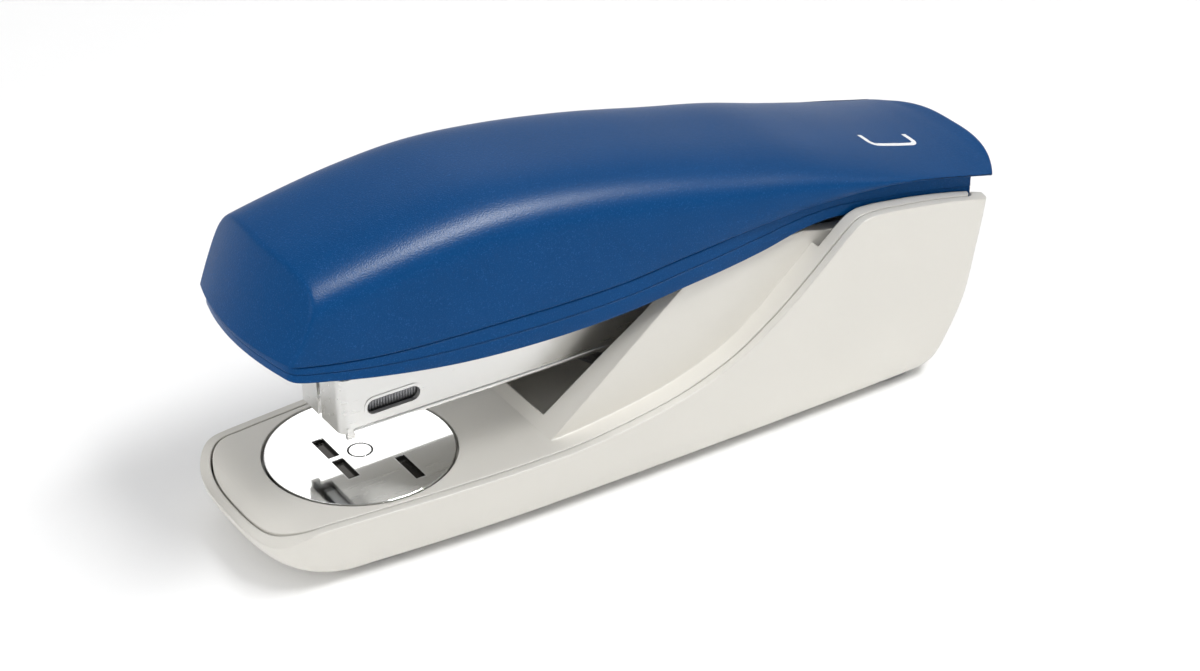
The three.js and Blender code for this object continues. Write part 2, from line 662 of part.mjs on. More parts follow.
// Plan of the skirt: its front follows the foot of the nose facet.
function skirtPlan(inset, z0, z1) {
  const front = (y) => FACET.x + 0.6 - FACET.bulge * (1 - (y / FACET.half) ** 2) + inset;
  const xs = span(-64, 69.2 - inset, 14);
  const half = (x) => skirtHalf(x) - inset;
  const nose = span(-half(-66) * 0.97, half(-66) * 0.97, 6).map((y) => [front(y), y]);
  const far = xs.map((x) => [x, half(x)]);
  const near = xs.map((x) => [x, -half(x)]).reverse();
  return plateXY(outline([...nose, ...far, ...near]), z0, z1);
}

function handleSkirt() {
  const band = skirtPlan(0, 20, 60).intersect(under((x) => seamZ(x) - GAP, -80, 80, 0));
  const collar = skirtPlan(1.45, 20, 60).intersect(under((x) => seamZ(x) + COLLAR.rise, -80, COLLAR.back, 0));
  const hollow = skirtPlan(2.55, 0, 80);
  const besideCheeks = box(CHEEK_FRONT_CLEAR, 90, -30, 30, 0, 80);
  const thinned = join(under((x) => skirtLowZ(x) + 2.2, -80, 80, 0), besideCheeks);
  const thin = skirtPlan(1.15, 0, 80).intersect(thinned);
  const bridges = HANDLE_SCREWS.map((at) => box(at - 4, at + 4, -15.2, 15.2, bridgeZ(at) - 1.4, bridgeZ(at)));
  const x = HANDLE_SCREWS[0];
  const posts = [-13.9, 13.9].map((y) => box(x - 4, x + 4, y - 0.7, y + 0.7, bridgeZ(x) - 6.5, bridgeZ(x)));
  const body = join(cut(join(band, collar), hollow, thin), ...bridges, ...posts);
  const inside = cut(coverBody(COVER_WALL + GAP, 0), noseCutter(COVER_WALL + 0.9));
  const kept = join(inside, under((x) => seamZ(x) - GAP, -80, 80, 0));
  const screws = HANDLE_SCREWS.map((at) => cylinderZ(at, 0, 1.5, 20, 80));
  const hingeSpace = cylinderY(PIVOT.x, PIVOT.z, 8.3, -20, 20, 48);
  return cut(body.intersect(kept), under(skirtLowZ, -80, 80, 0), hingeSpace, ...screws);
}

// Folded steel frame under the cover: a top web, two flanges and round ends on the pin.
function handleFrame() {
  const top = [[-52, 42.6], [-30, 42.2], [44, 35.6]];
  const t = 1.0;
  const shape = new THREE.Shape();
  shape.moveTo(-52, 37.2);
  shape.lineTo(-52, top[0][1]);
  shape.lineTo(...top[1]);
  shape.lineTo(...top[2]);
  shape.absarc(PIVOT.x, PIVOT.z, LOBE_R, Math.PI * 0.42, -Math.PI * 0.6, true);
  shape.lineTo(46, 27.0);
  shape.lineTo(20, 30.2);
  shape.lineTo(-45, 34.2);
  const outer = plateXZ(shape, -9.1, 9.1);
  const roof = [[-60, top[0][1] - t], [-30, top[1][1] - t], [44, top[2][1] - t], [44.2, 80]];
  const hollow = plateXZ(outline([...roof, [80, 80], [80, 0], [-60, 0]]), -8.1, 8.1);
  const screws = HANDLE_SCREWS.map((x) => cylinderZ(x, 0, 1.5, 20, 80));
  const rivets = [-1, 1].map((s) => cylinderZ(BLADE.front + 7, s * 3.4, 1.15, 20, 80, 16));
  return cut(outer, hollow, cylinderY(PIVOT.x, PIVOT.z, PIN_HOLE, -20, 20), ...screws, ...rivets);
}

// Driver blade: an L whose foot lies under the frame's web.
function driverBlade() {
  const back = BLADE.front + BLADE.t;
  const blade = box(BLADE.front, back, -BLADE.half, BLADE.half, BLADE.low, 41.0);
  const foot = box(BLADE.front, BLADE.front + 9.5, -BLADE.half, BLADE.half, 40.3, 41.0);
  const holes = [-1, 1].map((s) => cylinderZ(BLADE.front + 7, s * 3.4, 1.15, 20, 80, 16));
  return cut(join(blade, foot), ...holes);
}

function driverRivet(side) {
  const x = BLADE.front + 7;
  const y = side * 3.4;
  return join(
    cylinderZ(x, y, 0.85, 39.6, 43.3, 16),
    cylinderZ(x, y, 1.7, 39.4, 40.0, 16),
    cylinderZ(x, y, 1.7, 42.95, 43.5, 16),
  );
}

function handleScrew(x) {
  const frameUnder = x < 0 ? 41.6 : 35.2;
  return screw(x, 0, frameUnder - 1.9, 2.6, 1.1, 1.2, bridgeZ(x) + 5.5);
}

// ---------------------------------------------------------------- build

add("base_lower_shell", baseLowerShell(), LIGHT);
add("base_upper_shell", baseUpperShell(), LIGHT);
add("chassis_plate", chassis(), STEEL);
add("pivot_pin", pivotPin(), STEEL);
add("pin_clip_near", pinClip(-1), SPRING);
add("pin_clip_far", pinClip(1), SPRING);
add("magazine_leaf_spring", magazineLeafSpring(), SPRING);
footPlaces().forEach(([x, y], i) => {
  add(`foot_${i + 1}`, footBlock(x, y, 0, 0, FOOT.top), RUBBER);
});
screwPlaces().forEach(([x, y], i) => {
  add(`base_screw_${i + 1}`, screw(x, y, 1.9, 2.5, 0.5, 1.15, x > 0 ? 8.2 : 9.2), STEEL);
});

add("anvil_disc", anvilDisc(), MIRROR);
add("anvil_post", anvilPost(), MIRROR);
add("anvil_button", anvilButton(), LIGHT);
add("anvil_spring", anvilSpring(), SPRING);

add("magazine_channel", magazineChannel(), NICKEL);
add("staple_rail", stapleRail(), STEEL);
add("staple_strip", stapleStrip(), DARK_WIRE);
add("pusher", pusher(), RUBBER);
add("pusher_rod", pusherRod(), STEEL);
add("pusher_spring", pusherSpring(), SPRING);
add("magazine_end_block", magazineEndBlock(), RUBBER);

add("press_lever", pressLever(), STEEL);
add("return_spring", returnSpring(), SPRING);

add("handle_cover", handleCover(), BLUE);
add("handle_skirt", handleSkirt(), BLUE);
add("handle_frame", handleFrame(), STEEL);
add("driver_blade", driverBlade(), STEEL);
add("driver_rivet_near", driverRivet(-1), STEEL);
add("driver_rivet_far", driverRivet(1), STEEL);
HANDLE_SCREWS.forEach((x, i) => add(`handle_screw_${i + 1}`, handleScrew(x), STEEL));

export default stapler;
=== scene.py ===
"""Desk stapler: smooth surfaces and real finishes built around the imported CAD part.

Lengths inside the shape functions are millimetres in the part's own frame: +X from the nose
to the hinge end, +Y across, +Z up from the table. They become metres when a mesh is made.
"""

import json
import logging
import math
from dataclasses import dataclass, field
from enum import Enum
from typing import Callable

import bpy
import bmesh
import numpy as np
from mathutils import Matrix, Vector


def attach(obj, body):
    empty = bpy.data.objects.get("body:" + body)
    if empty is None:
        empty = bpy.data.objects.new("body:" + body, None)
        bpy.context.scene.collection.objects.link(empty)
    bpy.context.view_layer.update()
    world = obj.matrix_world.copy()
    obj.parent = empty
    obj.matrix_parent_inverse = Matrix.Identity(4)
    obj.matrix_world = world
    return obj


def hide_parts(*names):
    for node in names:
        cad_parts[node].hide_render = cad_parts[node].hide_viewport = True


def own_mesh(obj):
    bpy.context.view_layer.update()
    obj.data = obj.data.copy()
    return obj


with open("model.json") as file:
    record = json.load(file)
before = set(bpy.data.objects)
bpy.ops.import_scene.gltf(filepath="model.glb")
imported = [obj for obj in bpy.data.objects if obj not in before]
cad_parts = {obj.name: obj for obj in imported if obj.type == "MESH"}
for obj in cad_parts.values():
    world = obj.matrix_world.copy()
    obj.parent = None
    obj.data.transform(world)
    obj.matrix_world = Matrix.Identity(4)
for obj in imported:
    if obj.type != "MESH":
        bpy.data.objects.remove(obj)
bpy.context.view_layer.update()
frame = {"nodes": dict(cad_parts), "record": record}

LOG = logging.getLogger("stapler")
Array = np.ndarray
Line = Callable[[Array], Array]
MM = 0.001


# ---------------------------------------------------------------- shared dimensions, millimetres

GAP = 0.3
HALF_LENGTH = 72.6
DECK_Z = 11.8
FLOOR_Z = 1.65
PIVOT = (61.0, 24.2)
PIN_HOLE = 1.8
LOBE_R = 3.7
SKIN = 1.5
TRAY_INSET = 1.8
TRAY_WALL = 0.95
ANVIL_X = -48.0
ANVIL_R = 15.9
ANVIL_T = 1.3
INCLINE_X = -20.2
SCREW_PLACES = [(-61.0, -7.0), (-61.0, 7.0), (34.0, -7.5), (34.0, 7.5)]
FEET = {
    "foot_1": (-51.5, -12.0), "foot_2": (-51.5, 12.0), "foot_3": (51.5, -14.2), "foot_4": (51.5, 14.2),
}
WIDE = 20.0  # past both sides of the object, for cutters
BEYOND = 80.0  # past both ends of the object and above it, for cutters
HANDLE_SCREWS = [(-41.0, 46.4), (36.0, 41.6)]


def through(points: list[tuple[float, float]]) -> Line:
    """A smooth line through a few points: cubic Hermite pieces with finite-difference slopes.

    Args:
        points: Places (x, value) in rising x.

    Returns:
        A function of an array of x, level beyond both ends.
    """
    xs = np.array([p[0] for p in points], float)
    ys = np.array([p[1] for p in points], float)
    before = np.maximum(np.arange(len(xs)) - 1, 0)
    after = np.minimum(np.arange(len(xs)) + 1, len(xs) - 1)
    slope = (ys[after] - ys[before]) / (xs[after] - xs[before])

    def line(x: Array) -> Array:
        """Hermite blend of the two nearest points."""
        x = np.clip(np.asarray(x, float), xs[0], xs[-1])
        i = np.clip(np.searchsorted(xs, x, side="right") - 1, 0, len(xs) - 2)
        h = xs[i + 1] - xs[i]
        t = (x - xs[i]) / h
        s = 1 - t
        ends = ys[i] * (1 + 2 * t) * s * s + ys[i + 1] * (3 - 2 * t) * t * t
        return ends + h * s * t * (slope[i] * s - slope[i + 1] * t)

    return line


base_half = through([
    (-72, 17.0), (-55, 18.6), (-40, 19.8), (-25, 20.5), (10, 20.8), (45, 20.6), (71, 20.0),
])
rim_z = through([
    (-72.6, 8.3), (-71, 8.9), (-68.5, 10.8), (-66, 11.6), (-63, DECK_Z), (-22, DECK_Z), (-12, 12.4),
    (3.3, 14.9), (14.3, 18.8), (22.5, 23.9), (29.7, 29.5), (35.6, 34.6), (39, 37.2), (42, 37.9), (49, 37.2),
    (58, 35.7), (67, 33.6), (71, 32.2),
])
rear_x = through([
    (1.65, 57.4), (3.3, 60.0), (6.8, 62.2), (10.9, 64.4), (15.8, 66.5), (24, 68.3), (32.3, 69.9), (38, 70.5),
])
crown_z = through([
    (-66, 55.6), (-55, 57.8), (-42, 59.7), (-29, 60.4), (-14, 59.1), (2, 56.4), (18, 52.7),
    (31, 49.6), (44, 45.6), (57, 41.8), (66, 39.7), (72.6, 38.6),
])
crown_arch = through([(-66, 0.9), (30, 0.8), (57, 1.5), (72.6, 1.7)])
cover_half = through([(-72, 16.0), (-62, 16.8), (-45, 17.5), (-20, 18.0), (40, 18.1), (72.6, 17.9)])
seam_z = through([
    (-72, 43.4), (-60, 41.0), (-48, 39.6), (-28, 39.0), (-8, 38.9), (5, 40.0), (20, 41.2), (32, 41.6),
    (48, 40.7), (58, 39.0), (72.6, 35.5),
])
skirt_low_z = through([
    (-72, 40.0), (-66, 39.0), (-52, 35.9), (-37, 33.6), (-21, 32.6), (-6.6, 32.8), (5.5, 33.9), (22, 35.4),
    (31, 36.9), (38, 37.0), (48, 34.6), (58, 32.9), (65, 31.9), (72, 30.4),
])
skirt_half = through([
    (-72, 15.4), (-62, 16.0), (-45, 16.7), (-25, 17.1), (10, 17.1), (31, 16.1), (72, 16.1),
])
cheek_outer = through([(-30, 15.2), (18, 15.2), (28, 14.6), (70, 14.6)])
cheek_inner = through([(-20, 9.6), (-8, 10.8), (3, 12.0), (45, 12.0), (52, 12.8), (70, 12.8)])


# ---------------------------------------------------------------- meshes from arrays


class Cut(Enum):
    """How one solid changes another."""

    ADD = "UNION"
    TAKE = "DIFFERENCE"
    KEEP = "INTERSECT"


@dataclass
class Surface:
    """Points and faces gathered from grids and fans, in millimetres."""

    points: list[Array] = field(default_factory=list)
    faces: list[list[int]] = field(default_factory=list)
    count: int = 0

    def _put(self, p: Array) -> int:
        """Adds points and returns the number of the first one."""
        start = self.count
        self.points.append(p.reshape(-1, 3))
        self.count += p.reshape(-1, 3).shape[0]
        return start

    def grid(self, p: Array, round_rows: bool = False, round_columns: bool = False) -> "Surface":
        """Adds a grid of quads.

        Args:
            p: Points, rows by columns by three.
            round_rows: Joins the last row to the first.
            round_columns: Joins the last column to the first.

        Returns:
            This surface, for chaining.
        """
        number = np.arange(p.shape[0] * p.shape[1]).reshape(p.shape[:2]) + self._put(p)
        if round_rows:
            number = np.vstack([number, number[:1]])
        if round_columns:
            number = np.hstack([number, number[:, :1]])
        corners = (number[:-1, :-1], number[1:, :-1], number[1:, 1:], number[:-1, 1:])
        self.faces += np.stack(corners, -1).reshape(-1, 4).tolist()
        return self

    def fan(self, ring: Array) -> "Surface":
        """Closes a ring with triangles to its mean point."""
        n = ring.shape[0]
        start = self._put(np.vstack([ring, ring.mean(0, keepdims=True)]))
        i = np.arange(n)
        self.faces += np.stack([start + i, start + (i + 1) % n, np.full(n, start + n)], -1).tolist()
        return self

    def mesh(self, name: str) -> bpy.types.Mesh:
        """Makes a welded Blender mesh in metres with its normals outward."""
        made = bpy.data.meshes.new(name)
        made.from_pydata((np.vstack(self.points) * MM).tolist(), [], self.faces)
        work = bmesh.new()
        work.from_mesh(made)
        bmesh.ops.remove_doubles(work, verts=work.verts, dist=1e-6)
        bmesh.ops.dissolve_degenerate(work, edges=work.edges, dist=1e-7)
        bmesh.ops.recalc_face_normals(work, faces=work.faces)
        work.to_mesh(made)
        work.free()
        return made


def prism(outline: Array, low: float, high: float, upright: bool = True) -> bpy.types.Mesh:
    """A straight solid over an outline: the outline repeated at two levels and capped.

    Args:
        outline: Points of the outline, n by two.
        low: First level, along Z when upright, else along Y.
        high: Second level.
        upright: True for an XY outline, False for an XZ outline.

    Returns:
        The closed mesh.
    """
    a, b = outline[:, 0], outline[:, 1]
    levels = [np.full_like(a, level) for level in (low, high)]
    rings = [np.stack((a, b, level) if upright else (a, level, b), -1) for level in levels]
    n = len(a)
    solid = Surface().grid(np.stack(rings), round_columns=True)
    solid.faces += [list(range(n)), list(range(n, 2 * n))]
    return solid.mesh("prism")


def block(x: tuple, y: tuple, z: tuple) -> bpy.types.Mesh:
    """A straight-sided solid between two corners, used as a cutter or a rib."""
    return prism(np.array([(x[0], y[0]), (x[1], y[0]), (x[1], y[1]), (x[0], y[1])], float), *z)


def drum(x: float, y: float, r: float, low: float, high: float, sides: int = 64) -> bpy.types.Mesh:
    """A round solid along Z: a regular ring of points carried straight up."""
    a = np.linspace(0, 2 * np.pi, sides, endpoint=False)
    return prism(np.stack((x + r * np.cos(a), y + r * np.sin(a)), -1), low, high)


def arc(x: float, z: float, r: float, start: float, end: float, steps: int = 20) -> Array:
    """Points of a circle's arc between two angles in radians."""
    a = np.linspace(start, end, steps)
    return np.stack((x + r * np.cos(a), z + r * np.sin(a)), -1)


def evenly(path: Array, count: int | None = None, step: float = 0.5) -> Array:
    """The same path with points at even distances.

    Args:
        path: Points, n by two.
        count: How many points to return; when left out, one for every step.
        step: Distance between points when no count is given.

    Returns:
        The new points.
    """
    run = np.concatenate([[0], np.cumsum(np.linalg.norm(np.diff(path, axis=0), axis=1))])
    even = np.linspace(0, run[-1], count or int(run[-1] / step))
    return np.stack([np.interp(even, run, path[:, i]) for i in range(2)], -1)


def heading(path: Array) -> Array:
    """Unit direction of a path at each of its points."""
    along = np.gradient(path, axis=0)
    return along / np.linalg.norm(along, axis=1, keepdims=True)


def under(line: Line, x0: float, x1: float, floor: float = -5.0, steps: int = 220) -> bpy.types.Mesh:
    """Everything under the line z(x) between two stations, across the whole width."""
    x = np.linspace(x0, x1, steps)
    top = np.stack((x, line(x)), -1)
    return prism(np.vstack([[(x0, floor)], top, [(x1, floor)]]), -1.5 * WIDE, 1.5 * WIDE, upright=False)


def strip(half: Line, x0: float, x1: float, low: float, high: float, steps: int = 90) -> bpy.types.Mesh:
    """The plan region with |y| below half(x) between two stations, as a straight solid."""
    x = np.linspace(x0, x1, steps)
    far = np.stack((x, half(x)), -1)
    return prism(np.vstack([far, far[::-1] * (1, -1)]), low, high)


def combine(first: bpy.types.Mesh, steps: list[tuple[Cut, bpy.types.Mesh]]) -> bpy.types.Mesh:
    """Adds, takes away or keeps solids in order, and returns the finished mesh.

    Args:
        first: The starting solid.
        steps: Pairs of what to do and the solid to do it with.

    Returns:
        A new mesh with nothing left live.
    """
    scene = bpy.context.scene.collection
    work = bpy.data.objects.new("work", first)
    scene.objects.link(work)
    tools = []
    for how, solid in steps:
        tool = bpy.data.objects.new("tool", solid)
        scene.objects.link(tool)
        tools.append(tool)
        change = work.modifiers.new("change", "BOOLEAN")
        change.operation = how.value
        change.solver = "MANIFOLD"
        change.object = tool
    graph = bpy.context.evaluated_depsgraph_get()
    made = bpy.data.meshes.new_from_object(work.evaluated_get(graph))
    for o in (work, *tools):
        bpy.data.objects.remove(o)
    return made


def place(name: str, mesh: bpy.types.Mesh, finish: "Finish", body: str, sharp: float = 28.0,
          stands_for: tuple[str, ...] = ()) -> bpy.types.Object:
    """Puts a finished mesh in the scene as a piece of the object.

    Args:
        name: The piece's name.
        mesh: Its mesh, in metres.
        finish: Its material recipe.
        body: The CAD body it moves with.
        sharp: Edges steeper than this many degrees stay crisp.
        stands_for: CAD nodes that it replaces.

    Returns:
        The object.
    """
    mesh.name = name
    mesh.shade_smooth()
    mesh.set_sharp_from_angle(angle=math.radians(sharp))
    mesh.materials.clear()
    mesh.materials.append(finish.material())
    made = bpy.data.objects.new(name, mesh)
    bpy.context.scene.collection.objects.link(made)
    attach(made, body)
    if stands_for:
        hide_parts(*stands_for)
    LOG.info("piece %s: %d faces on body %s", name, len(mesh.polygons), body)
    return made


# ---------------------------------------------------------------- finishes


@dataclass(frozen=True)
class Finish:
    """A procedural material: base colour, gloss and fine surface detail."""

    name: str
    color: tuple[float, float, float]
    roughness: float = 0.4
    metallic: float = 0.0
    grain: float = 2500.0
    grain_depth: float = 0.00002
    grain_share: float = 0.12
    mottle: float = 0.04
    stretch: tuple[float, float, float] = (1.0, 1.0, 1.0)
    edge: float = 0.0003
    # Strength of painted glints: lighter flecks mixed into the colour, 0 for none.
    painted_glint: float = 0.0
    coat: float = 0.0
    rough_swing: float = 0.06
    anisotropy: float = 0.0
    specular: float = 0.5
    # Level in metres below which the colour is painted near-black as shade; 0 leaves it off.
    painted_shade_below: float = 0.0

    def material(self) -> bpy.types.Material:
        """Returns the node material, made once and shared afterwards."""
        label = f"{self.name}_finish"
        found = bpy.data.materials.get(label)
        if found:
            return found
        made = bpy.data.materials.new(label)
        made.use_nodes = True
        tree = made.node_tree
        shader = tree.nodes["Principled BSDF"]
        shader.inputs["Metallic"].default_value = self.metallic
        shader.inputs["Coat Weight"].default_value = self.coat
        shader.inputs["Coat Roughness"].default_value = 0.25
        shader.inputs["Anisotropic"].default_value = self.anisotropy
        shader.inputs["Specular IOR Level"].default_value = self.specular
        place_at = tree.nodes.new("ShaderNodeTexCoord")
        turn = tree.nodes.new("ShaderNodeMapping")
        turn.inputs["Scale"].default_value = self.stretch
        tree.links.new(place_at.outputs["Object"], turn.inputs["Vector"])
        fine = self._noise(tree, turn, self.grain, 2.0)
        broad = self._noise(tree, turn, 60.0, 3.0)
        self._colour(tree, shader, fine, broad)
        self._roughness(tree, shader, fine)
        self._relief(tree, shader, fine)
        return made

    def _noise(self, tree: bpy.types.NodeTree, at: bpy.types.Node, scale: float,
               detail: float) -> bpy.types.Node:
        """Adds a noise texture at the given scale, per metre."""
        node = tree.nodes.new("ShaderNodeTexNoise")
        node.inputs["Scale"].default_value = scale
        node.inputs["Detail"].default_value = detail
        tree.links.new(at.outputs["Vector"], node.inputs["Vector"])
        return node

    def _colour(self, tree: bpy.types.NodeTree, shader: bpy.types.Node, fine: bpy.types.Node,
                broad: bpy.types.Node) -> None:
        """Links the base colour: a slow mottle, and, when asked for, painted glints: lighter flecks in the
        colour itself.
        """
        ramp = tree.nodes.new("ShaderNodeValToRGB")
        c = np.array(self.color)
        ramp.color_ramp.elements[0].position = 0.3
        ramp.color_ramp.elements[1].position = 0.7
        ramp.color_ramp.elements[0].color = (*np.clip(c * (1 - self.mottle), 0, 1), 1)
        ramp.color_ramp.elements[1].color = (*np.clip(c * (1 + self.mottle), 0, 1), 1)
        tree.links.new(broad.outputs["Fac"], ramp.inputs["Fac"])
        source = ramp.outputs["Color"]
        # painted glints: lighter flecks where the fine noise is high
        if self.painted_glint:
            glint_ramp = tree.nodes.new("ShaderNodeValToRGB")
            glint_ramp.color_ramp.elements[0].position = 0.56
            glint_ramp.color_ramp.elements[1].position = 0.74
            glint_ramp.color_ramp.elements[0].color = (0, 0, 0, 1)
            glint_ramp.color_ramp.elements[1].color = (self.painted_glint,) * 3 + (1,)
            tree.links.new(fine.outputs["Fac"], glint_ramp.inputs["Fac"])
            mix = tree.nodes.new("ShaderNodeMix")
            mix.data_type = "RGBA"
            mix.inputs["B"].default_value = (*np.clip(c * 2.0 + 0.03, 0, 1), 1)
            tree.links.new(glint_ramp.outputs["Color"], mix.inputs["Factor"])
            tree.links.new(source, mix.inputs["A"])
            source = mix.outputs["Result"]
        # painted shade on the low parts
        if self.painted_shade_below:
            source = self._paint_low_shade(tree, source)
        tree.links.new(source, shader.inputs["Base Color"])

    def _paint_low_shade(self, tree: bpy.types.NodeTree, source: bpy.types.NodeSocket) -> bpy.types.NodeSocket:
        """Paints shade: a near-black colour on everything below a given level, so that pressed-in shapes
        look shadowed.
        """
        at = tree.nodes.new("ShaderNodeTexCoord")
        split = tree.nodes.new("ShaderNodeSeparateXYZ")
        step = tree.nodes.new("ShaderNodeMapRange")
        step.inputs["From Min"].default_value = self.painted_shade_below - 0.0003
        step.inputs["From Max"].default_value = self.painted_shade_below
        mix = tree.nodes.new("ShaderNodeMix")
        mix.data_type = "RGBA"
        # near-black: the painted shade
        mix.inputs["A"].default_value = (0.035, 0.033, 0.03, 1)
        tree.links.new(at.outputs["Object"], split.inputs["Vector"])
        tree.links.new(split.outputs["Z"], step.inputs["Value"])
        tree.links.new(step.outputs["Result"], mix.inputs["Factor"])
        tree.links.new(source, mix.inputs["B"])
        return mix.outputs["Result"]

    def _roughness(self, tree: bpy.types.NodeTree, shader: bpy.types.Node, fine: bpy.types.Node) -> None:
        """Links the roughness, which swings a little with the grain."""
        spread = tree.nodes.new("ShaderNodeMapRange")
        spread.inputs["To Min"].default_value = self.roughness - self.rough_swing
        spread.inputs["To Max"].default_value = self.roughness + self.rough_swing
        tree.links.new(fine.outputs["Fac"], spread.inputs["Value"])
        tree.links.new(spread.outputs["Result"], shader.inputs["Roughness"])

    def _relief(self, tree: bpy.types.NodeTree, shader: bpy.types.Node, fine: bpy.types.Node) -> None:
        """Links a fine bump over softly rounded edges."""
        bump = tree.nodes.new("ShaderNodeBump")
        bump.inputs["Strength"].default_value = self.grain_share
        bump.inputs["Distance"].default_value = self.grain_depth
        tree.links.new(fine.outputs["Fac"], bump.inputs["Height"])
        if self.edge:
            soft = tree.nodes.new("ShaderNodeBevel")
            soft.samples = 4
            soft.inputs["Radius"].default_value = self.edge
            tree.links.new(soft.outputs["Normal"], bump.inputs["Normal"])
        tree.links.new(bump.outputs["Normal"], shader.inputs["Normal"])


# The cover's lighter flecks are painted glints.
BLUE = Finish("cover_plastic", (0.0002, 0.050, 0.172), roughness=0.34, grain=4200, grain_depth=0.00006,
              grain_share=0.75, painted_glint=0.4, edge=0.0004, specular=0.09)
LIGHT = Finish("base_shell_plastic", (0.66, 0.64, 0.59), roughness=0.38, grain=2600, grain_depth=0.00002,
               grain_share=0.15, mottle=0.012, edge=0.0004, coat=0.1)
NICKEL = Finish("magazine_nickel", (0.70, 0.695, 0.675), roughness=0.28, metallic=1.0, grain=900,
                stretch=(0.08, 1.0, 1.0), mottle=0.01, edge=0.0, rough_swing=0.02, grain_share=0.01)
# Everything on the anvil below 11.55 mm is painted near-black as shade.
MIRROR = Finish("anvil_polished_steel", (0.86, 0.86, 0.85), roughness=0.07, metallic=1.0, grain=700,
                stretch=(1.0, 0.05, 1.0), mottle=0.01, edge=0.0002, rough_swing=0.012, grain_share=0.01,
                painted_shade_below=0.01155)
STEEL = Finish("chassis_steel", (0.50, 0.51, 0.52), roughness=0.38, metallic=1.0, grain=1200,
               stretch=(0.06, 1.0, 1.0), mottle=0.06)
FASTENER = Finish("fastener_steel", (0.52, 0.52, 0.53), roughness=0.33, metallic=1.0, grain=1500,
                  mottle=0.08)
SPRING = Finish("spring_steel", (0.40, 0.41, 0.43), roughness=0.30, metallic=1.0, grain=2200, mottle=0.05,
                edge=0.0)
RAIL = Finish("rail_steel", (0.52, 0.53, 0.54), roughness=0.35, metallic=1.0, grain=1100,
              stretch=(0.06, 1.0, 1.0), mottle=0.05)
STAPLES = Finish("staple_wire", (0.30, 0.30, 0.31), roughness=0.30, metallic=1.0, grain=1800, mottle=0.10,
                 edge=0.0)
NYLON = Finish("pusher_plastic", (0.028, 0.028, 0.031), roughness=0.5, grain=2000, mottle=0.05)
RUBBER = Finish("foot_rubber", (0.30, 0.30, 0.29), roughness=0.62, grain=3000, grain_depth=0.00004,
                grain_share=0.3, mottle=0.05)
PRINT = Finish("white_print", (0.86, 0.87, 0.88), roughness=0.42, grain=3600, mottle=0.01, edge=0.0)
FLOOR = Finish("studio_floor", (0.95, 0.95, 0.95), roughness=0.85, grain=400, mottle=0.004, edge=0.0,
               rough_swing=0.02)


# ---------------------------------------------------------------- base


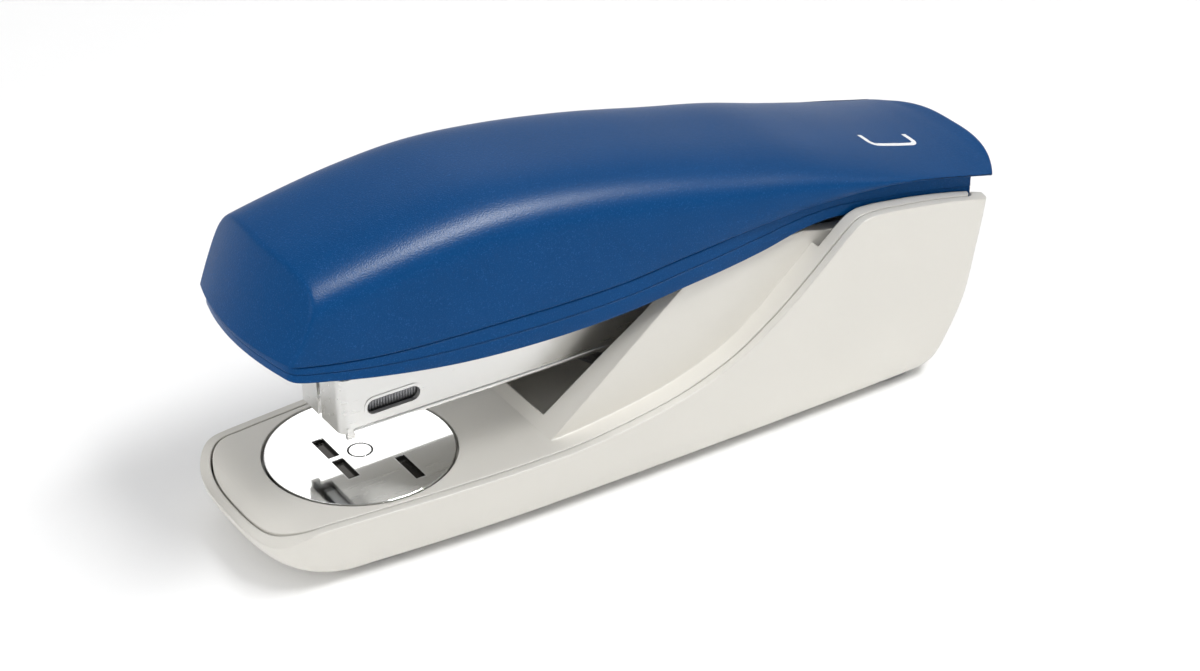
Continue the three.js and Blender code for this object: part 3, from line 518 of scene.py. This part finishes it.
@dataclass
class Base:
    """The two shells of the base and its feet."""

    under_r: float = 5.0
    under_tuck: float = 2.2
    lip_height: float = 6.9
    lip_under: float = 12.0
    draft: float = 0.04
    nose: float = 8.0
    nose_power: float = 2.8
    tail: float = 4.0
    tail_power: float = 3.4
    foot_half: float = 4.6
    foot_depth: float = 2.9
    foot_top: float = 2.25
    foot_round: float = 0.9
    foot_recess: float = 0.65
    cheek_top: float = 35.6
    cheek_back: float = 63.6
    slope: float = 0.797
    tray_low: float = 4.2
    slot_half: float = 16.45
    boss_r: float = 2.9
    disc_gap: float = 0.5

    def ring(self, z: Array, inset: Array) -> Array:
        """Plan outline of the base at each level.

        The nose is a superellipse of power 2.8, the sides follow the half-width line, and the tail is a
        superellipse of power 3.4. The sides tuck in below by a quarter circle, and so does the nose.

        Args:
            z: Levels, one per row.
            inset: Distance inside the outer surface, one per row.

        Returns:
            Points, rows by columns by three, going once round.
        """
        z = np.asarray(z, float)[:, None]
        inset = np.broadcast_to(np.asarray(inset, float).reshape(-1, 1), z.shape)
        rise = np.clip(1 - (z - FLOOR_Z) / self.under_r, 0, 1)
        lean_in = self.draft * np.clip(DECK_Z - z, 0, None)
        tuck = self.under_tuck * (1 - np.sqrt(1 - rise**2)) + inset + lean_in
        lip = np.clip(1 - (z - FLOOR_Z) / self.lip_height, 0, 1)
        nose_end = -HALF_LENGTH + self.lip_under * (1 - np.sqrt(1 - lip**2)) + inset + self.nose
        tail_end = rear_x(z) - 1.6 * inset - self.tail
        a = np.linspace(0, np.pi / 2, 34)[None, :-1]
        bend = 2 / self.nose_power
        nose = (nose_end - self.nose * np.cos(a) ** bend, (base_half(nose_end) - tuck) * np.sin(a) ** bend)
        x = nose_end + (tail_end - nose_end) * np.linspace(0, 1, 90)[None, :]
        side = (x, base_half(x) - tuck)
        b = np.linspace(0, np.pi / 2, 26)[None, 1:]
        bend = 2 / self.tail_power
        tail = (tail_end + self.tail * np.sin(b) ** bend,
                (base_half(tail_end) - tuck) * np.clip(np.cos(b), 0, 1) ** bend)
        far_x = np.hstack([nose[0], side[0], tail[0]])
        far_y = np.hstack([nose[1], side[1], tail[1]])
        all_x = np.hstack([far_x, far_x[:, -2:0:-1]])
        all_y = np.hstack([far_y, -far_y[:, -2:0:-1]])
        return np.stack([all_x, all_y, np.broadcast_to(z, all_x.shape)], -1)

    def hull(self, inset: float, floor: float) -> bpy.types.Mesh:
        """The base's outer form shrunk by inset, from a floor up, as a closed solid."""
        low = FLOOR_Z + self.under_r * (1 - np.cos(np.linspace(0, np.pi / 2, 14)))
        z = np.concatenate([[floor], low[low > floor + 0.02], np.linspace(7.2, 38.6, 30)])
        p = self.ring(z, np.full(len(z), inset))
        return Surface().grid(p, round_columns=True).fan(p[0]).fan(p[-1]).mesh("hull")

    def foot_outline(self, x: float, y: float, grow: float) -> Array:
        """A stadium, long in X, round the place of a foot."""
        r, run = self.foot_depth + grow, self.foot_half - self.foot_depth
        right = arc(x + run, y, r, -np.pi / 2, np.pi / 2, 24)
        left = arc(x - run, y, r, np.pi / 2, 1.5 * np.pi, 24)
        return np.vstack([right, left])

    def lower_shell(self) -> bpy.types.Mesh:
        """Outer shell: the hull under the rim line, hollowed, with its pockets and bores cut out."""
        rear_window = block((60, BEYOND), (-16.8, 16.8), (26.5, 50))
        button_bore = drum(ANVIL_X, 0, 6.3, 0, 5)
        steps = [(Cut.KEEP, under(rim_z, -BEYOND, BEYOND)), (Cut.TAKE, self.hull(SKIN, 3.4)),
                 (Cut.TAKE, rear_window), (Cut.TAKE, button_bore)]
        for x, y in FEET.values():
            pocket = prism(self.foot_outline(x, y, GAP), self.foot_recess, self.foot_top + GAP)
            steps.append((Cut.TAKE, pocket))
        for x, y in SCREW_PLACES:
            steps += [(Cut.TAKE, drum(x, y, 1.6, 0, 5)), (Cut.TAKE, drum(x, y, 2.9, 0, 2.65))]
        return combine(self.hull(0, FLOOR_Z), steps)

    def tower(self) -> bpy.types.Mesh:
        """The two cheeks and the sill before the cavity that they enclose."""
        crest = INCLINE_X + (self.cheek_top - DECK_Z) / self.slope
        top = [(INCLINE_X, DECK_Z), (crest, self.cheek_top), (31.5, self.cheek_top), (36, 34.3), (57, 31.2),
               (self.cheek_back, 29.6)]
        outline = np.array([(INCLINE_X, 6.0), *top, (self.cheek_back, 6.0)])
        side = prism(outline, -WIDE, WIDE, upright=False)
        cavity = strip(cheek_inner, INCLINE_X + 2.0, 70, 7.4, 50)
        spring_well = block((42.5, 70), (-11.9, 11.9), (0, 20))
        return combine(strip(cheek_outer, INCLINE_X - 1, self.cheek_back, 5, 40), [
            (Cut.KEEP, side), (Cut.KEEP, self.hull(TRAY_INSET, self.tray_low)),
            (Cut.TAKE, cavity), (Cut.TAKE, spring_well),
        ])

    def upper_shell(self) -> bpy.types.Mesh:
        """The tray: a skin under the rim line, with the cheeks, slots, anvil seat and screw bosses."""
        below_rim = under(lambda x: rim_z(x) - 1.8, -BEYOND, BEYOND)
        below = combine(self.hull(TRAY_INSET + TRAY_WALL, 4.0), [(Cut.KEEP, below_rim)])
        between = block((20, 90), (-14.1, 14.1), (0, 70))
        skirt_slot = combine(block((33.5, BEYOND), (-self.slot_half, self.slot_half), (29.4, 60)), [
            (Cut.TAKE, between)])
        cheek_room = strip(lambda x: cheek_outer(x) - 0.4, INCLINE_X + 0.5, BEYOND, 3, 60)
        rear_room = block((63.7, BEYOND), (-self.slot_half, self.slot_half), (26.2, 60))
        under_disc = drum(ANVIL_X, 0, ANVIL_R - 2, 8.4, 10.6)
        post_guide = drum(ANVIL_X, 0, 6.4, 6.9, 9)
        steps = [(Cut.KEEP, under(rim_z, -BEYOND, BEYOND)), (Cut.TAKE, below), (Cut.TAKE, cheek_room),
                 (Cut.TAKE, skirt_slot), (Cut.TAKE, rear_room), (Cut.ADD, self.tower()),
                 (Cut.ADD, under_disc), (Cut.ADD, post_guide)]
        for x, y in SCREW_PLACES:
            steps.append((Cut.ADD, drum(x, y, self.boss_r, 5.4, 10.6 if x < 0 else 7, 32)))
        seat = drum(ANVIL_X, 0, ANVIL_R + self.disc_gap, DECK_Z - ANVIL_T - GAP, 20, 160)
        steps += [(Cut.TAKE, seat), (Cut.TAKE, drum(ANVIL_X, 0, 3.6, 0, 20))]
        for x, y in SCREW_PLACES:
            steps.append((Cut.TAKE, drum(x, y, 1.5, 3, 9.9 if x < 0 else 9, 32)))
        return combine(self.hull(TRAY_INSET, self.tray_low), steps)

    def foot(self, x: float, y: float) -> bpy.types.Mesh:
        """A soft pad: the stadium outline shrunk by a quarter circle at its lower edge."""
        a = np.linspace(0, np.pi / 2, 8)
        shrink = np.concatenate([self.foot_round * (1 - np.sin(a)), [0.0]])
        level = np.concatenate([self.foot_round * (1 - np.cos(a)), [self.foot_top]])
        outlines = [self.foot_outline(x, y, -s) for s in shrink]
        p = np.stack([np.column_stack([o, np.full(len(o), z)]) for o, z in zip(outlines, level)])
        return Surface().grid(p, round_columns=True).fan(p[0]).fan(p[-1]).mesh("foot")

    def build(self) -> None:
        """Makes the two shells and the feet."""
        place("base_outer", self.lower_shell(), LIGHT, "base", 24, ("base_lower_shell",))
        place("base_tray", self.upper_shell(), LIGHT, "base", 24, ("base_upper_shell",))
        for node, (x, y) in FEET.items():
            place("pad_" + node, self.foot(x, y), RUBBER, "base", 40, (node,))


# ---------------------------------------------------------------- wire springs


@dataclass(frozen=True)
class Coil:
    """A round-wire compression spring."""

    node: str
    centre: tuple[float, float, float]
    along_x: bool
    radius: float
    length: float
    turns: float
    wire: float
    body: str
    joint: str
    anchor: tuple[float, float, float]
    keep: float
    flat_turn: float = 0.4
    steps_a_turn: int = 40

    def mesh(self) -> bpy.types.Mesh:
        """A small circle carried along a helix.

        The helix point at angle a is (radius cos a, radius sin a, length share). Round it, the wire's own
        circle lies in the plane of the radial direction and the spring's axis. The first and last part
        of a turn, flat_turn long, have no pitch, so that both ends sit flat.
        """
        t = np.linspace(0, 1, int(self.turns * self.steps_a_turn))
        a = 2 * np.pi * self.turns * t
        rise = np.clip((t * self.turns - self.flat_turn) / (self.turns - 2 * self.flat_turn), 0, 1)
        b = np.linspace(0, 2 * np.pi, 10, endpoint=False)
        r = self.radius + self.wire * np.cos(b)[None, :]
        u, v = r * np.cos(a)[:, None], r * np.sin(a)[:, None]
        w = (rise * self.length)[:, None] + self.wire * np.sin(b)[None, :]
        p = np.stack((w, u, v) if self.along_x else (u, v, w), -1) + np.array(self.centre)
        return Surface().grid(p, round_columns=True).fan(p[0]).fan(p[-1]).mesh(self.node)

    def build(self) -> None:
        """Places the spring and gives it a mesh of its own."""
        made = place(self.node + "_wire", self.mesh(), SPRING, self.body, 50, (self.node,))
        anchor = tuple(c * MM for c in self.anchor)
        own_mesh(made)


# ---------------------------------------------------------------- magazine


@dataclass
class Magazine:
    """Nickel channel, glued staples and the wire springs."""

    nose_x: float = -54.8
    half: float = 7.5
    wall: float = 0.75
    front_wall: float = 0.8
    low: float = 20.9
    side: float = 31.0
    corner: float = 1.8
    lip_start: float = -2.4
    window_x: tuple[float, float] = (-48.7, -41.6)
    window_z: float = 24.65
    window_r: float = 1.35
    strip_front: float = -52.2
    strip_back: float = -2.2
    strip_low: float = 21.95
    strip_top: float = 28.25
    strip_half: float = 6.4
    wire: float = 0.5
    wires: int = 96
    gap_depth: float = 0.22

    def plan(self, inset: float, corner: float) -> Array:
        """Plan of the channel with rounded front corners."""
        x, h = self.nose_x + inset, self.half - inset
        near = arc(x + corner, -h + corner, corner, np.pi, 1.5 * np.pi, 10)
        far = arc(x + corner, h - corner, corner, np.pi / 2, np.pi, 10)
        return np.vstack([far, near, [(BEYOND, -h), (BEYOND, h)]])

    def window(self, grow: float) -> Array:
        """The oval staple window, grown on all sides."""
        r = self.window_r + grow
        left = arc(self.window_x[0], self.window_z, r, np.pi / 2, 1.5 * np.pi)
        right = arc(self.window_x[1], self.window_z, r, -np.pi / 2, np.pi / 2)
        return np.vstack([left, right])

    def outline(self) -> Array:
        """Side view of the channel: a long low body, stepped down to a round lobe at the pivot."""
        low, top = self.low - 0.6, self.side
        lobe = arc(*PIVOT, LOBE_R, -np.pi / 2, np.pi / 2, 30)
        front = [(self.nose_x - 1, self.low + 0.05), (self.lip_start, low), (57, low)]
        return np.vstack([front, lobe, [(50, 29), (40, top), (self.nose_x - 1, top)]])

    def channel(self) -> bpy.types.Mesh:
        """Folded channel: side outline kept inside the plan outline, hollowed, with its openings."""
        inner = self.half - self.wall
        room = (-inner, inner)
        sides = [(-self.half, -inner), (inner, self.half)]
        tabs = [block((-53.8, -52.4), side, (19.9, 22)) for side in sides]
        hollow = combine(prism(self.plan(self.front_wall, 0.3), self.low + self.wall, 60), [
            (Cut.KEEP, block((-60, 90), room, (0, BEYOND)))])
        window_frame = prism(self.window(0.5), -self.half - 0.12, self.half + 0.12, upright=False)
        blade_exit = block((-54.0, -50.4), room, (10, 22.6))
        front_split = block((-56, -53.3), (-0.6, 0.6), (10, 60))
        pivot_room = block((55, BEYOND), room, (10, 22.6))
        window = prism(self.window(0), -WIDE, WIDE, upright=False)
        pin_hole = prism(arc(*PIVOT, PIN_HOLE, 0, 2 * np.pi, 33)[:-1], -WIDE, WIDE, upright=False)
        steps = [(Cut.KEEP, prism(self.plan(0, self.corner), 0, 60)), (Cut.ADD, window_frame)]
        steps += [(Cut.ADD, t) for t in tabs] + [(Cut.ADD, self.lip(s)) for s in (-1, 1)]
        steps += [(Cut.TAKE, t) for t in (hollow, blade_exit, front_split, pivot_room, window, pin_hole)]
        return combine(prism(self.outline(), -self.half, self.half, upright=False), steps)

    def lip(self, sign: int) -> bpy.types.Mesh:
        """The folded lower edge: a flattened bead along one side."""
        bulge, rise = 0.22, 0.40
        x = np.array([self.nose_x + 2.2, self.lip_start, 40.0])
        z = np.array([self.low + 0.4, self.low - 0.2, self.low - 0.2])
        a = np.linspace(0, 2 * np.pi, 14, endpoint=False)
        p = np.stack(np.broadcast_arrays(x[:, None], sign * self.half + bulge * np.cos(a)[None],
                                         z[:, None] + rise * np.sin(a)[None]), -1)
        return Surface().grid(p, round_columns=True).fan(p[0]).fan(p[-1]).mesh("lip")

    def staples(self) -> bpy.types.Mesh:
        """Glued wires: an inverted U section that swells and shrinks once for every wire along X.

        The outer faces are drawn in by gap_depth times (1 - |sin|^0.6), with one arch of the sine for
        each wire, so that the gap between two wires is narrow and deep.
        """
        pitch = (self.strip_back - self.strip_front) / self.wires
        t = np.linspace(0, self.wires, self.wires * 5 + 1)
        pull = self.gap_depth * (1 - np.abs(np.sin(np.pi * t)) ** 0.6)
        h, w, chamfer = self.strip_half, self.wire, 0.3
        lo, hi = self.strip_low, self.strip_top
        y = np.array([-h, -h, chamfer - h, h - chamfer, h, h, h - w, h - w, w - h, w - h])
        z = np.array([lo, hi - chamfer, hi, hi, hi - chamfer, lo, lo, hi - w, hi - w, lo])
        inward_y = np.array([1, 1, 0.7, -0.7, -1, -1, 0, 0, 0, 0])
        inward_z = np.array([0, 0, -0.7, -0.7, 0, 0, 0, 0, 0, 0])
        x = self.strip_front + pitch * t
        p = np.stack(np.broadcast_arrays(x[:, None], y[None] + pull[:, None] * inward_y[None],
                                         z[None] + pull[:, None] * inward_z[None]), -1)
        surface = Surface().grid(p, round_columns=True)
        corners = len(y)
        last = surface.count - corners
        surface.faces += [list(range(corners)), list(range(last, last + corners))]
        return surface.mesh("staples")

    def build(self) -> None:
        """Makes the channel, the staples and the three wire springs."""
        ride = "magazine"
        place("magazine_shell", self.channel(), NICKEL, ride, 28, ("magazine_channel",))
        place("staple_wires", self.staples(), STAPLES, ride, 20, ("staple_strip",))
        Coil("pusher_spring", centre=(7.35, 0, 24.6), along_x=True, radius=1.75, length=36.9, turns=10,
             wire=0.22, body=ride, joint="pusher_slide", anchor=(44.6, 0, 24.6), keep=0.13).build()
        Coil("return_spring", centre=(49, 0, 28.0), along_x=False, radius=2.6, length=3.8, turns=3.6,
             wire=0.3, body=ride, joint="handle_press", anchor=(49, 0, 27.7), keep=0.74).build()
        Coil("anvil_spring", centre=(ANVIL_X, 0, 4.9), along_x=False, radius=4.9, length=1.4, turns=2.6,
             wire=0.22, body="base", joint="anvil_button_press", anchor=(ANVIL_X, 0, 6.5), keep=0.37).build()


# ---------------------------------------------------------------- handle


@dataclass
class Handle:
    """The blue cover and skirt."""

    facet_x: float = -67.0
    facet_z: float = 42.3
    lean: float = 0.446
    bulge: float = 2.4
    facet_half: float = 15.5
    wall: float = 0.9
    edge_round: float = 0.7
    seam_gap: float = 0.18
    tail_bow: float = 4.8
    tail_out: float = 3.0
    bow_from: float = 40.0
    bow_half: float = 17.9
    round_share: float = 0.78
    round_height: float = 9.5
    across_power: float = 3.6
    up_power: float = 2.8
    draw_in: float = 0.65
    columns: int = 181
    skirt_wall: float = 1.15
    screw_r: float = 1.5

    def facet(self, y: Array, z: Array) -> Array:
        """x of the slanted, slightly bulging nose facet at (y, z)."""
        return self.facet_x + self.lean * (z - self.facet_z) - self.bulge * (1 - (y / self.facet_half) ** 2)

    def height(self, x: Array, inset: float = 0.0) -> Array:
        """How far the rounded part of the section reaches down: near 0.8 of the side, levelling off."""
        side = 0.8 * (crown_z(x) - inset - seam_z(x))
        return self.round_height * np.tanh(side / self.round_height)

    def section(self, x: Array, v: Array, inset: float = 0.0) -> tuple[Array, Array]:
        """The cover's cross-section.

        From the crown to the side it is a superellipse with its own powers across and up, less a
        shallow arch. Below that the side draws in slightly, down to the seam.

        Args:
            x: Stations.
            v: Place round the section, -1 at the near seam, 0 at the crown, 1 at the far seam.
            inset: How far inside the outer face the surface lies.

        Returns:
            y and z.
        """
        half, crown, seam = cover_half(x) - inset, crown_z(x) - inset, seam_z(x)
        height = self.height(x, inset)
        s = np.abs(v)
        a = np.clip(s / self.round_share, 0, 1) * np.pi / 2
        down = np.clip((s - self.round_share) / (1 - self.round_share), 0, 1)
        across = np.sin(a) ** (2 / self.across_power)
        y = half * across - self.draw_in * down**2
        cosine = np.clip(np.cos(a), 0, 1)
        arch = crown_arch(x) * across**2 * cosine**0.5
        z = crown - height + height * cosine ** (2 / self.up_power) - arch
        return np.sign(v) * y, z + (seam - (crown - height)) * down

    def bowed(self, x: Array, y: Array) -> Array:
        """Stations moved so that the tail's end bows outward in plan: x less a cubic of |y|."""
        ramp = np.clip((x - self.bow_from) / (HALF_LENGTH - self.bow_from), 0, 1)
        ramp = ramp * ramp * (3 - 2 * ramp)
        return x + ramp * (self.tail_out - self.tail_bow * (np.abs(y) / self.bow_half) ** 3)

    def skin(self, inset: float) -> Array:
        """One face of the cover as a grid of rows round the section.

        Rows start on the facet's lower edge, climb the facet, roll over its edge on a quadratic curve,
        run back to the tail, roll over that edge and drop to the tail's lower edge.

        Args:
            inset: 0 for the outer face, the wall thickness for the inner face.

        Returns:
            Points, rows by columns by three.
        """
        v = np.linspace(-1, 1, self.columns)
        x0 = np.full_like(v, -64.0)
        for _ in range(60):  # settles on the line where the facet meets the section
            x0 = 0.5 * x0 + 0.5 * (self.facet(*self.section(x0, v, inset)) + inset)
        edge = self._at(x0, v, inset)
        start = self._at(x0 + self.edge_round, v, inset)
        drawn = self._drawn(edge, -68.8)
        inner = np.stack([self.facet(drawn[:, 1], drawn[:, 2]) + inset, drawn[:, 1], drawn[:, 2]], -1)
        front = self._dropped(inner, 26)
        front[..., 0] = self.facet(front[..., 1], front[..., 2]) + inset
        end = HALF_LENGTH - inset
        u = np.linspace(0, 1, 150)[1:-1, None]
        x = (x0 + self.edge_round) * (1 - u) + (end - self.edge_round) * u
        rim = self._at(np.full_like(v, end), v, inset)
        flat = self._drawn(rim, HALF_LENGTH)
        rows = [front[:-1], self._roll(inner, edge, start), self._at(x, np.broadcast_to(v, x.shape), inset),
                self._roll(self._at(np.full_like(v, end - self.edge_round), v, inset), rim, flat),
                self._dropped(flat, 10)[::-1][1:]]
        return np.concatenate(rows)

    def cover(self) -> bpy.types.Mesh:
        """The cover's shell: its outer and inner faces joined along the whole lower edge."""
        outer, inner = self.skin(0.0), self.skin(self.wall)
        made = Surface().grid(outer).grid(inner)
        for side in (0, -1):
            made.grid(np.stack([outer[:, side], inner[:, side]]))
            made.grid(np.stack([outer[side], inner[side]]))
        return made.mesh("cover")

    def _at(self, x: Array, v: Array, inset: float) -> Array:
        """Points of the cover at stations x and places v, with the tail bowed."""
        y, _ = self.section(x, v, inset)
        x = self.bowed(x, y)
        y, z = self.section(x, v, inset)
        return np.stack([x, y, z], -1)

    def _drawn(self, edge: Array, x: float) -> Array:
        """An end's edge drawn in by the rounding, towards the middle of its lower edge."""
        heart = np.array([0.0, 0.0, float(seam_z(np.array(x)))])
        reach = np.hypot(edge[:, 1], edge[:, 2] - heart[2])
        keep = (1 - self.edge_round / np.maximum(reach, 2.0))[:, None]
        drawn = heart + (edge - heart) * keep
        drawn[:, 0] = edge[:, 0]
        return drawn

    def _dropped(self, row: Array, count: int) -> Array:
        """Rows from the end's lower edge up to the given row, each column a nearly upright line."""
        low = row.copy()
        low[:, 1] = np.clip(row[:, 1], row[0, 1], row[-1, 1])
        low[:, 2] = row[0, 2] + (row[-1, 2] - row[0, 2]) * np.linspace(0, 1, len(row))
        return low + (row - low) * np.linspace(0, 1, count)[:, None, None]

    def _roll(self, a: Array, corner: Array, b: Array) -> Array:
        """Rows of a quadratic curve from a to b that bends round the corner."""
        t = np.linspace(0, 1, 6)[:, None, None]
        return (1 - t) ** 2 * a + 2 * t * (1 - t) * corner + t**2 * b

    def skirt_path(self) -> Array:
        """Plan of the skirt, from the near tail round the nose to the far tail.

        The raw outline is sampled every half millimetre, and its two front corners are rounded by a
        running weighted mean over nine samples.
        """
        x = np.linspace(67.4, -64.5, 200)
        y = np.linspace(-15.2, 15.2, 60)
        front = self.facet_x + 0.6 - self.bulge * (1 - (y / self.facet_half) ** 2)
        raw = np.vstack([np.stack((x, -skirt_half(x)), -1), np.stack((front, y), -1),
                         np.stack((x[::-1], skirt_half(x[::-1])), -1)])
        path = evenly(raw)
        kernel = np.hanning(9) / np.hanning(9).sum()
        padded = np.vstack([np.repeat(path[:1], 4, 0), path, np.repeat(path[-1:], 4, 0)])
        return np.stack([np.convolve(padded[:, i], kernel, "valid") for i in range(2)], -1)

    def skirt(self) -> bpy.types.Mesh:
        """A grooved band carried along the skirt's plan, with both ends and two cross bridges."""
        path = self.skirt_path()
        along = heading(path)
        inward = np.stack([along[:, 1], -along[:, 0]], -1)
        inward *= np.sign((inward * -path).sum(1, keepdims=True))
        top, low = seam_z(path[:, 0]) - self.seam_gap, skirt_low_z(path[:, 0])
        wall = self.skirt_wall
        share = [0.0, 0.05, 0.44, 0.455, 0.475, 0.49, 0.94, 0.98, 1.0, 1.0, 0.9, 0.0]
        inset = [0.25, 0.0, 0.0, 0.16, 0.16, 0.03, 0.05, 0.15, 0.4, 1.0, wall, wall]
        p = np.stack([np.column_stack([path + inward * i, top + (low - top) * s])
                      for s, i in zip(share, inset)])
        band = Surface().grid(p, round_rows=True).fan(p[:, 0]).fan(p[:, -1]).mesh("skirt")
        thick, rib_y = 1.4, 14.4
        steps = [(Cut.ADD, block((x - 4, x + 4), (-15.6, 15.6), (z - thick, z))) for x, z in HANDLE_SCREWS]
        for y in (-rib_y, rib_y):
            steps.append((Cut.ADD, block((-45, -37), (y - thick, y + thick), (39.9, 46.0))))
        steps += [(Cut.TAKE, drum(x, 0, self.screw_r, 20, BEYOND, 32)) for x, _ in HANDLE_SCREWS]
        return combine(band, steps)

    def boss(self, x: float, z: float) -> bpy.types.Mesh:
        """A screw boss: inner and outer walls joined below and inside the cover's own wall above."""
        a = np.linspace(0, 2 * np.pi, 40, endpoint=False)
        into_wall = 0.6
        rows = []
        for r, high in [(self.screw_r, False), (3.0, False), (3.2, True), (self.screw_r, True)]:
            at = x + r * np.cos(a)
            level = crown_z(at) - into_wall if high else np.full_like(a, z + GAP)
            rows.append(np.column_stack([at, r * np.sin(a), level]))
        return Surface().grid(np.stack(rows), round_rows=True, round_columns=True).mesh("boss")

    def mark(self) -> bpy.types.Mesh:
        """A plain printed staple outline, laid on the cover's top near the tail."""
        back, front, low, high, corner = 52.0, 62.0, -6.9, -3.0, 1.3
        left = arc(back + corner, low + corner, corner, np.pi, 1.5 * np.pi, 8)
        right = arc(front - corner, low + corner, corner, 1.5 * np.pi, 2 * np.pi, 8)
        legs = [(back, high), (back, -4.2)], [(front, -4.2), (front, high)]
        path = evenly(np.vstack([legs[0], left, right, legs[1]]), 90)
        along = heading(path)
        side = np.stack([-along[:, 1], along[:, 0]], -1)
        half, buried, proud = 0.45, -0.10, 0.05
        section = [(-half, buried), (-half, proud), (half, proud), (half, buried)]
        p = np.stack([self._on_top(path + side * w, lift) for w, lift in section])
        return Surface().grid(p, round_rows=True).fan(p[:, 0]).fan(p[:, -1]).mesh("mark")

    def _on_top(self, plan: Array, lift: float) -> Array:
        """Plan points raised to the cover's top surface, from the superellipse solved for z."""
        x, y = plan[:, 0], plan[:, 1]
        share = np.abs(y) / cover_half(x)
        height = self.height(x)
        cosine = np.sqrt(np.clip(1 - share**self.across_power, 0, 1))
        arch = crown_arch(x) * share**2 * cosine**0.5
        z = crown_z(x) - height + height * cosine ** (2 / self.up_power) - arch
        return np.column_stack([x, y, z + lift])

    def build(self) -> None:
        """Makes the cover, the skirt and the printed mark."""
        place("cover_skin", self.cover(), BLUE, "handle", 35, ("handle_cover",))
        for i, (x, z) in enumerate(HANDLE_SCREWS):
            place(f"cover_boss_{i + 1}", self.boss(x, z), BLUE, "handle")
        place("skirt_band", self.skirt(), BLUE, "handle", 30, ("handle_skirt",))
        place("printed_mark", self.mark(), PRINT, "handle")


# ---------------------------------------------------------------- carried-over nodes


@dataclass
class Mechanism:
    """CAD nodes whose shape is right as it stands, each with its finish."""

    finishes: dict[str, Finish] = field(default_factory=lambda: {
        "base_shell_plastic": LIGHT, "chassis_steel": STEEL, "fastener_steel": FASTENER,
        "spring_steel": SPRING, "foot_rubber": RUBBER, "anvil_polished_steel": MIRROR,
        "magazine_nickel": NICKEL, "rail_steel": RAIL, "staple_wire": STAPLES,
        "pusher_plastic": NYLON, "cover_plastic": BLUE,
    })

    def build(self) -> None:
        """Gives every shown node the finish of its slot."""
        for part in frame["record"]["subparts"]:
            node = frame["nodes"][part["node"]]
            if node.hide_render:
                continue
            node.data.materials.clear()
            node.data.materials.append(self.finishes[part["material_slot"]].material())
            LOG.info("node %s: %s", part["node"], part["material_slot"])
        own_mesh(frame["nodes"]["magazine_leaf_spring"])


# ---------------------------------------------------------------- studio


@dataclass(frozen=True)
class Lamp:
    """A soft rectangular lamp aimed at the object's middle."""

    name: str
    at: tuple[float, float, float]
    size: tuple[float, float]
    watts: float
    diffuse: bool = True

    def build(self) -> None:
        """Adds the lamp; without diffuse it only shows as a highlight."""
        data = bpy.data.lights.new(self.name, "AREA")
        data.shape = "RECTANGLE"
        data.size, data.size_y = self.size
        data.energy = self.watts
        lamp = bpy.data.objects.new(self.name, data)
        lamp.location = self.at
        lamp.visible_diffuse = self.diffuse
        lamp.rotation_euler = (Vector((0, 0, 0.03)) - Vector(self.at)).to_track_quat("-Z", "Y").to_euler()
        bpy.context.scene.collection.objects.link(lamp)


@dataclass
class Studio:
    """Floor, lamps, sky and camera."""

    eye: tuple[float, float, float] = (-218.0, -341.5, 263.2)
    look: tuple[float, float, float] = (0.4653, 0.7177, -0.5180)
    roll_deg: float = -0.35
    lens: float = 82.2
    shift_x: float = -0.0162
    sky: float = 0.60

    def floor(self) -> None:
        """A wide sheet that curves up far behind the object: level, then a quarter circle."""
        start, bend, radius, level_share = -3000, 2600, 900, 0.7
        t = np.linspace(0, 1, 60)
        turn = (t - level_share) / (1 - level_share) * np.pi / 2
        level = start + t / level_share * (bend - start)
        y = np.where(t < level_share, level, bend + radius * np.sin(turn))
        z = np.where(t < level_share, 0.0, radius * (1 - np.cos(turn)))
        x = np.linspace(-4000, 4000, 12)
        p = np.stack(np.broadcast_arrays(x[None], y[:, None], z[:, None]), -1)
        mesh = Surface().grid(p).mesh("studio_floor")
        mesh.shade_smooth()
        mesh.materials.append(FLOOR.material())
        made = bpy.data.objects.new("studio_floor", mesh)
        bpy.context.scene.collection.objects.link(made)

    def build(self) -> None:
        """Makes the floor, the sky, the lamps and the camera."""
        self.floor()
        world = bpy.data.worlds.new("sky")
        bpy.context.scene.world = world
        world.use_nodes = True
        back = world.node_tree.nodes["Background"]
        back.inputs["Color"].default_value = (1.0, 1.0, 1.0, 1)
        back.inputs["Strength"].default_value = self.sky
        bpy.context.scene.view_settings.view_transform = "Standard"  # colours as they are, white floor white
        Lamp("shoulder_light", (0.28, -0.36, 0.82), (0.50, 0.16), 4.2).build()
        Lamp("sheen_light", (0.27, -0.35, 0.80), (0.50, 0.16), 30.0, diffuse=False).build()
        Lamp("back_light", (0.80, 1.25, 0.92), (0.55, 0.42), 0.95).build()
        Lamp("nose_light", (-0.9, -0.25, 0.45), (0.6, 0.5), 3.0).build()
        camera = bpy.data.cameras.new("camera")
        camera.lens = self.lens
        camera.sensor_width = 36.0
        camera.shift_x = self.shift_x
        camera.clip_start, camera.clip_end = 0.01, 20
        made = bpy.data.objects.new("camera", camera)
        made.location = Vector(self.eye) * MM
        turn = Vector(self.look).to_track_quat("-Z", "Y").to_matrix()
        roll = Matrix.Rotation(math.radians(self.roll_deg), 3, "Z")
        made.rotation_euler = (turn @ roll).to_euler()
        bpy.context.scene.collection.objects.link(made)
        bpy.context.scene.camera = made


def main() -> None:
    """Builds every sub-assembly, then the studio."""
    logging.basicConfig(level=logging.INFO, format="%(name)s: %(message)s")
    Base().build()
    Magazine().build()
    Handle().build()
    Mechanism().build()
    Studio().build()


if __name__ == "__main__":
    main()
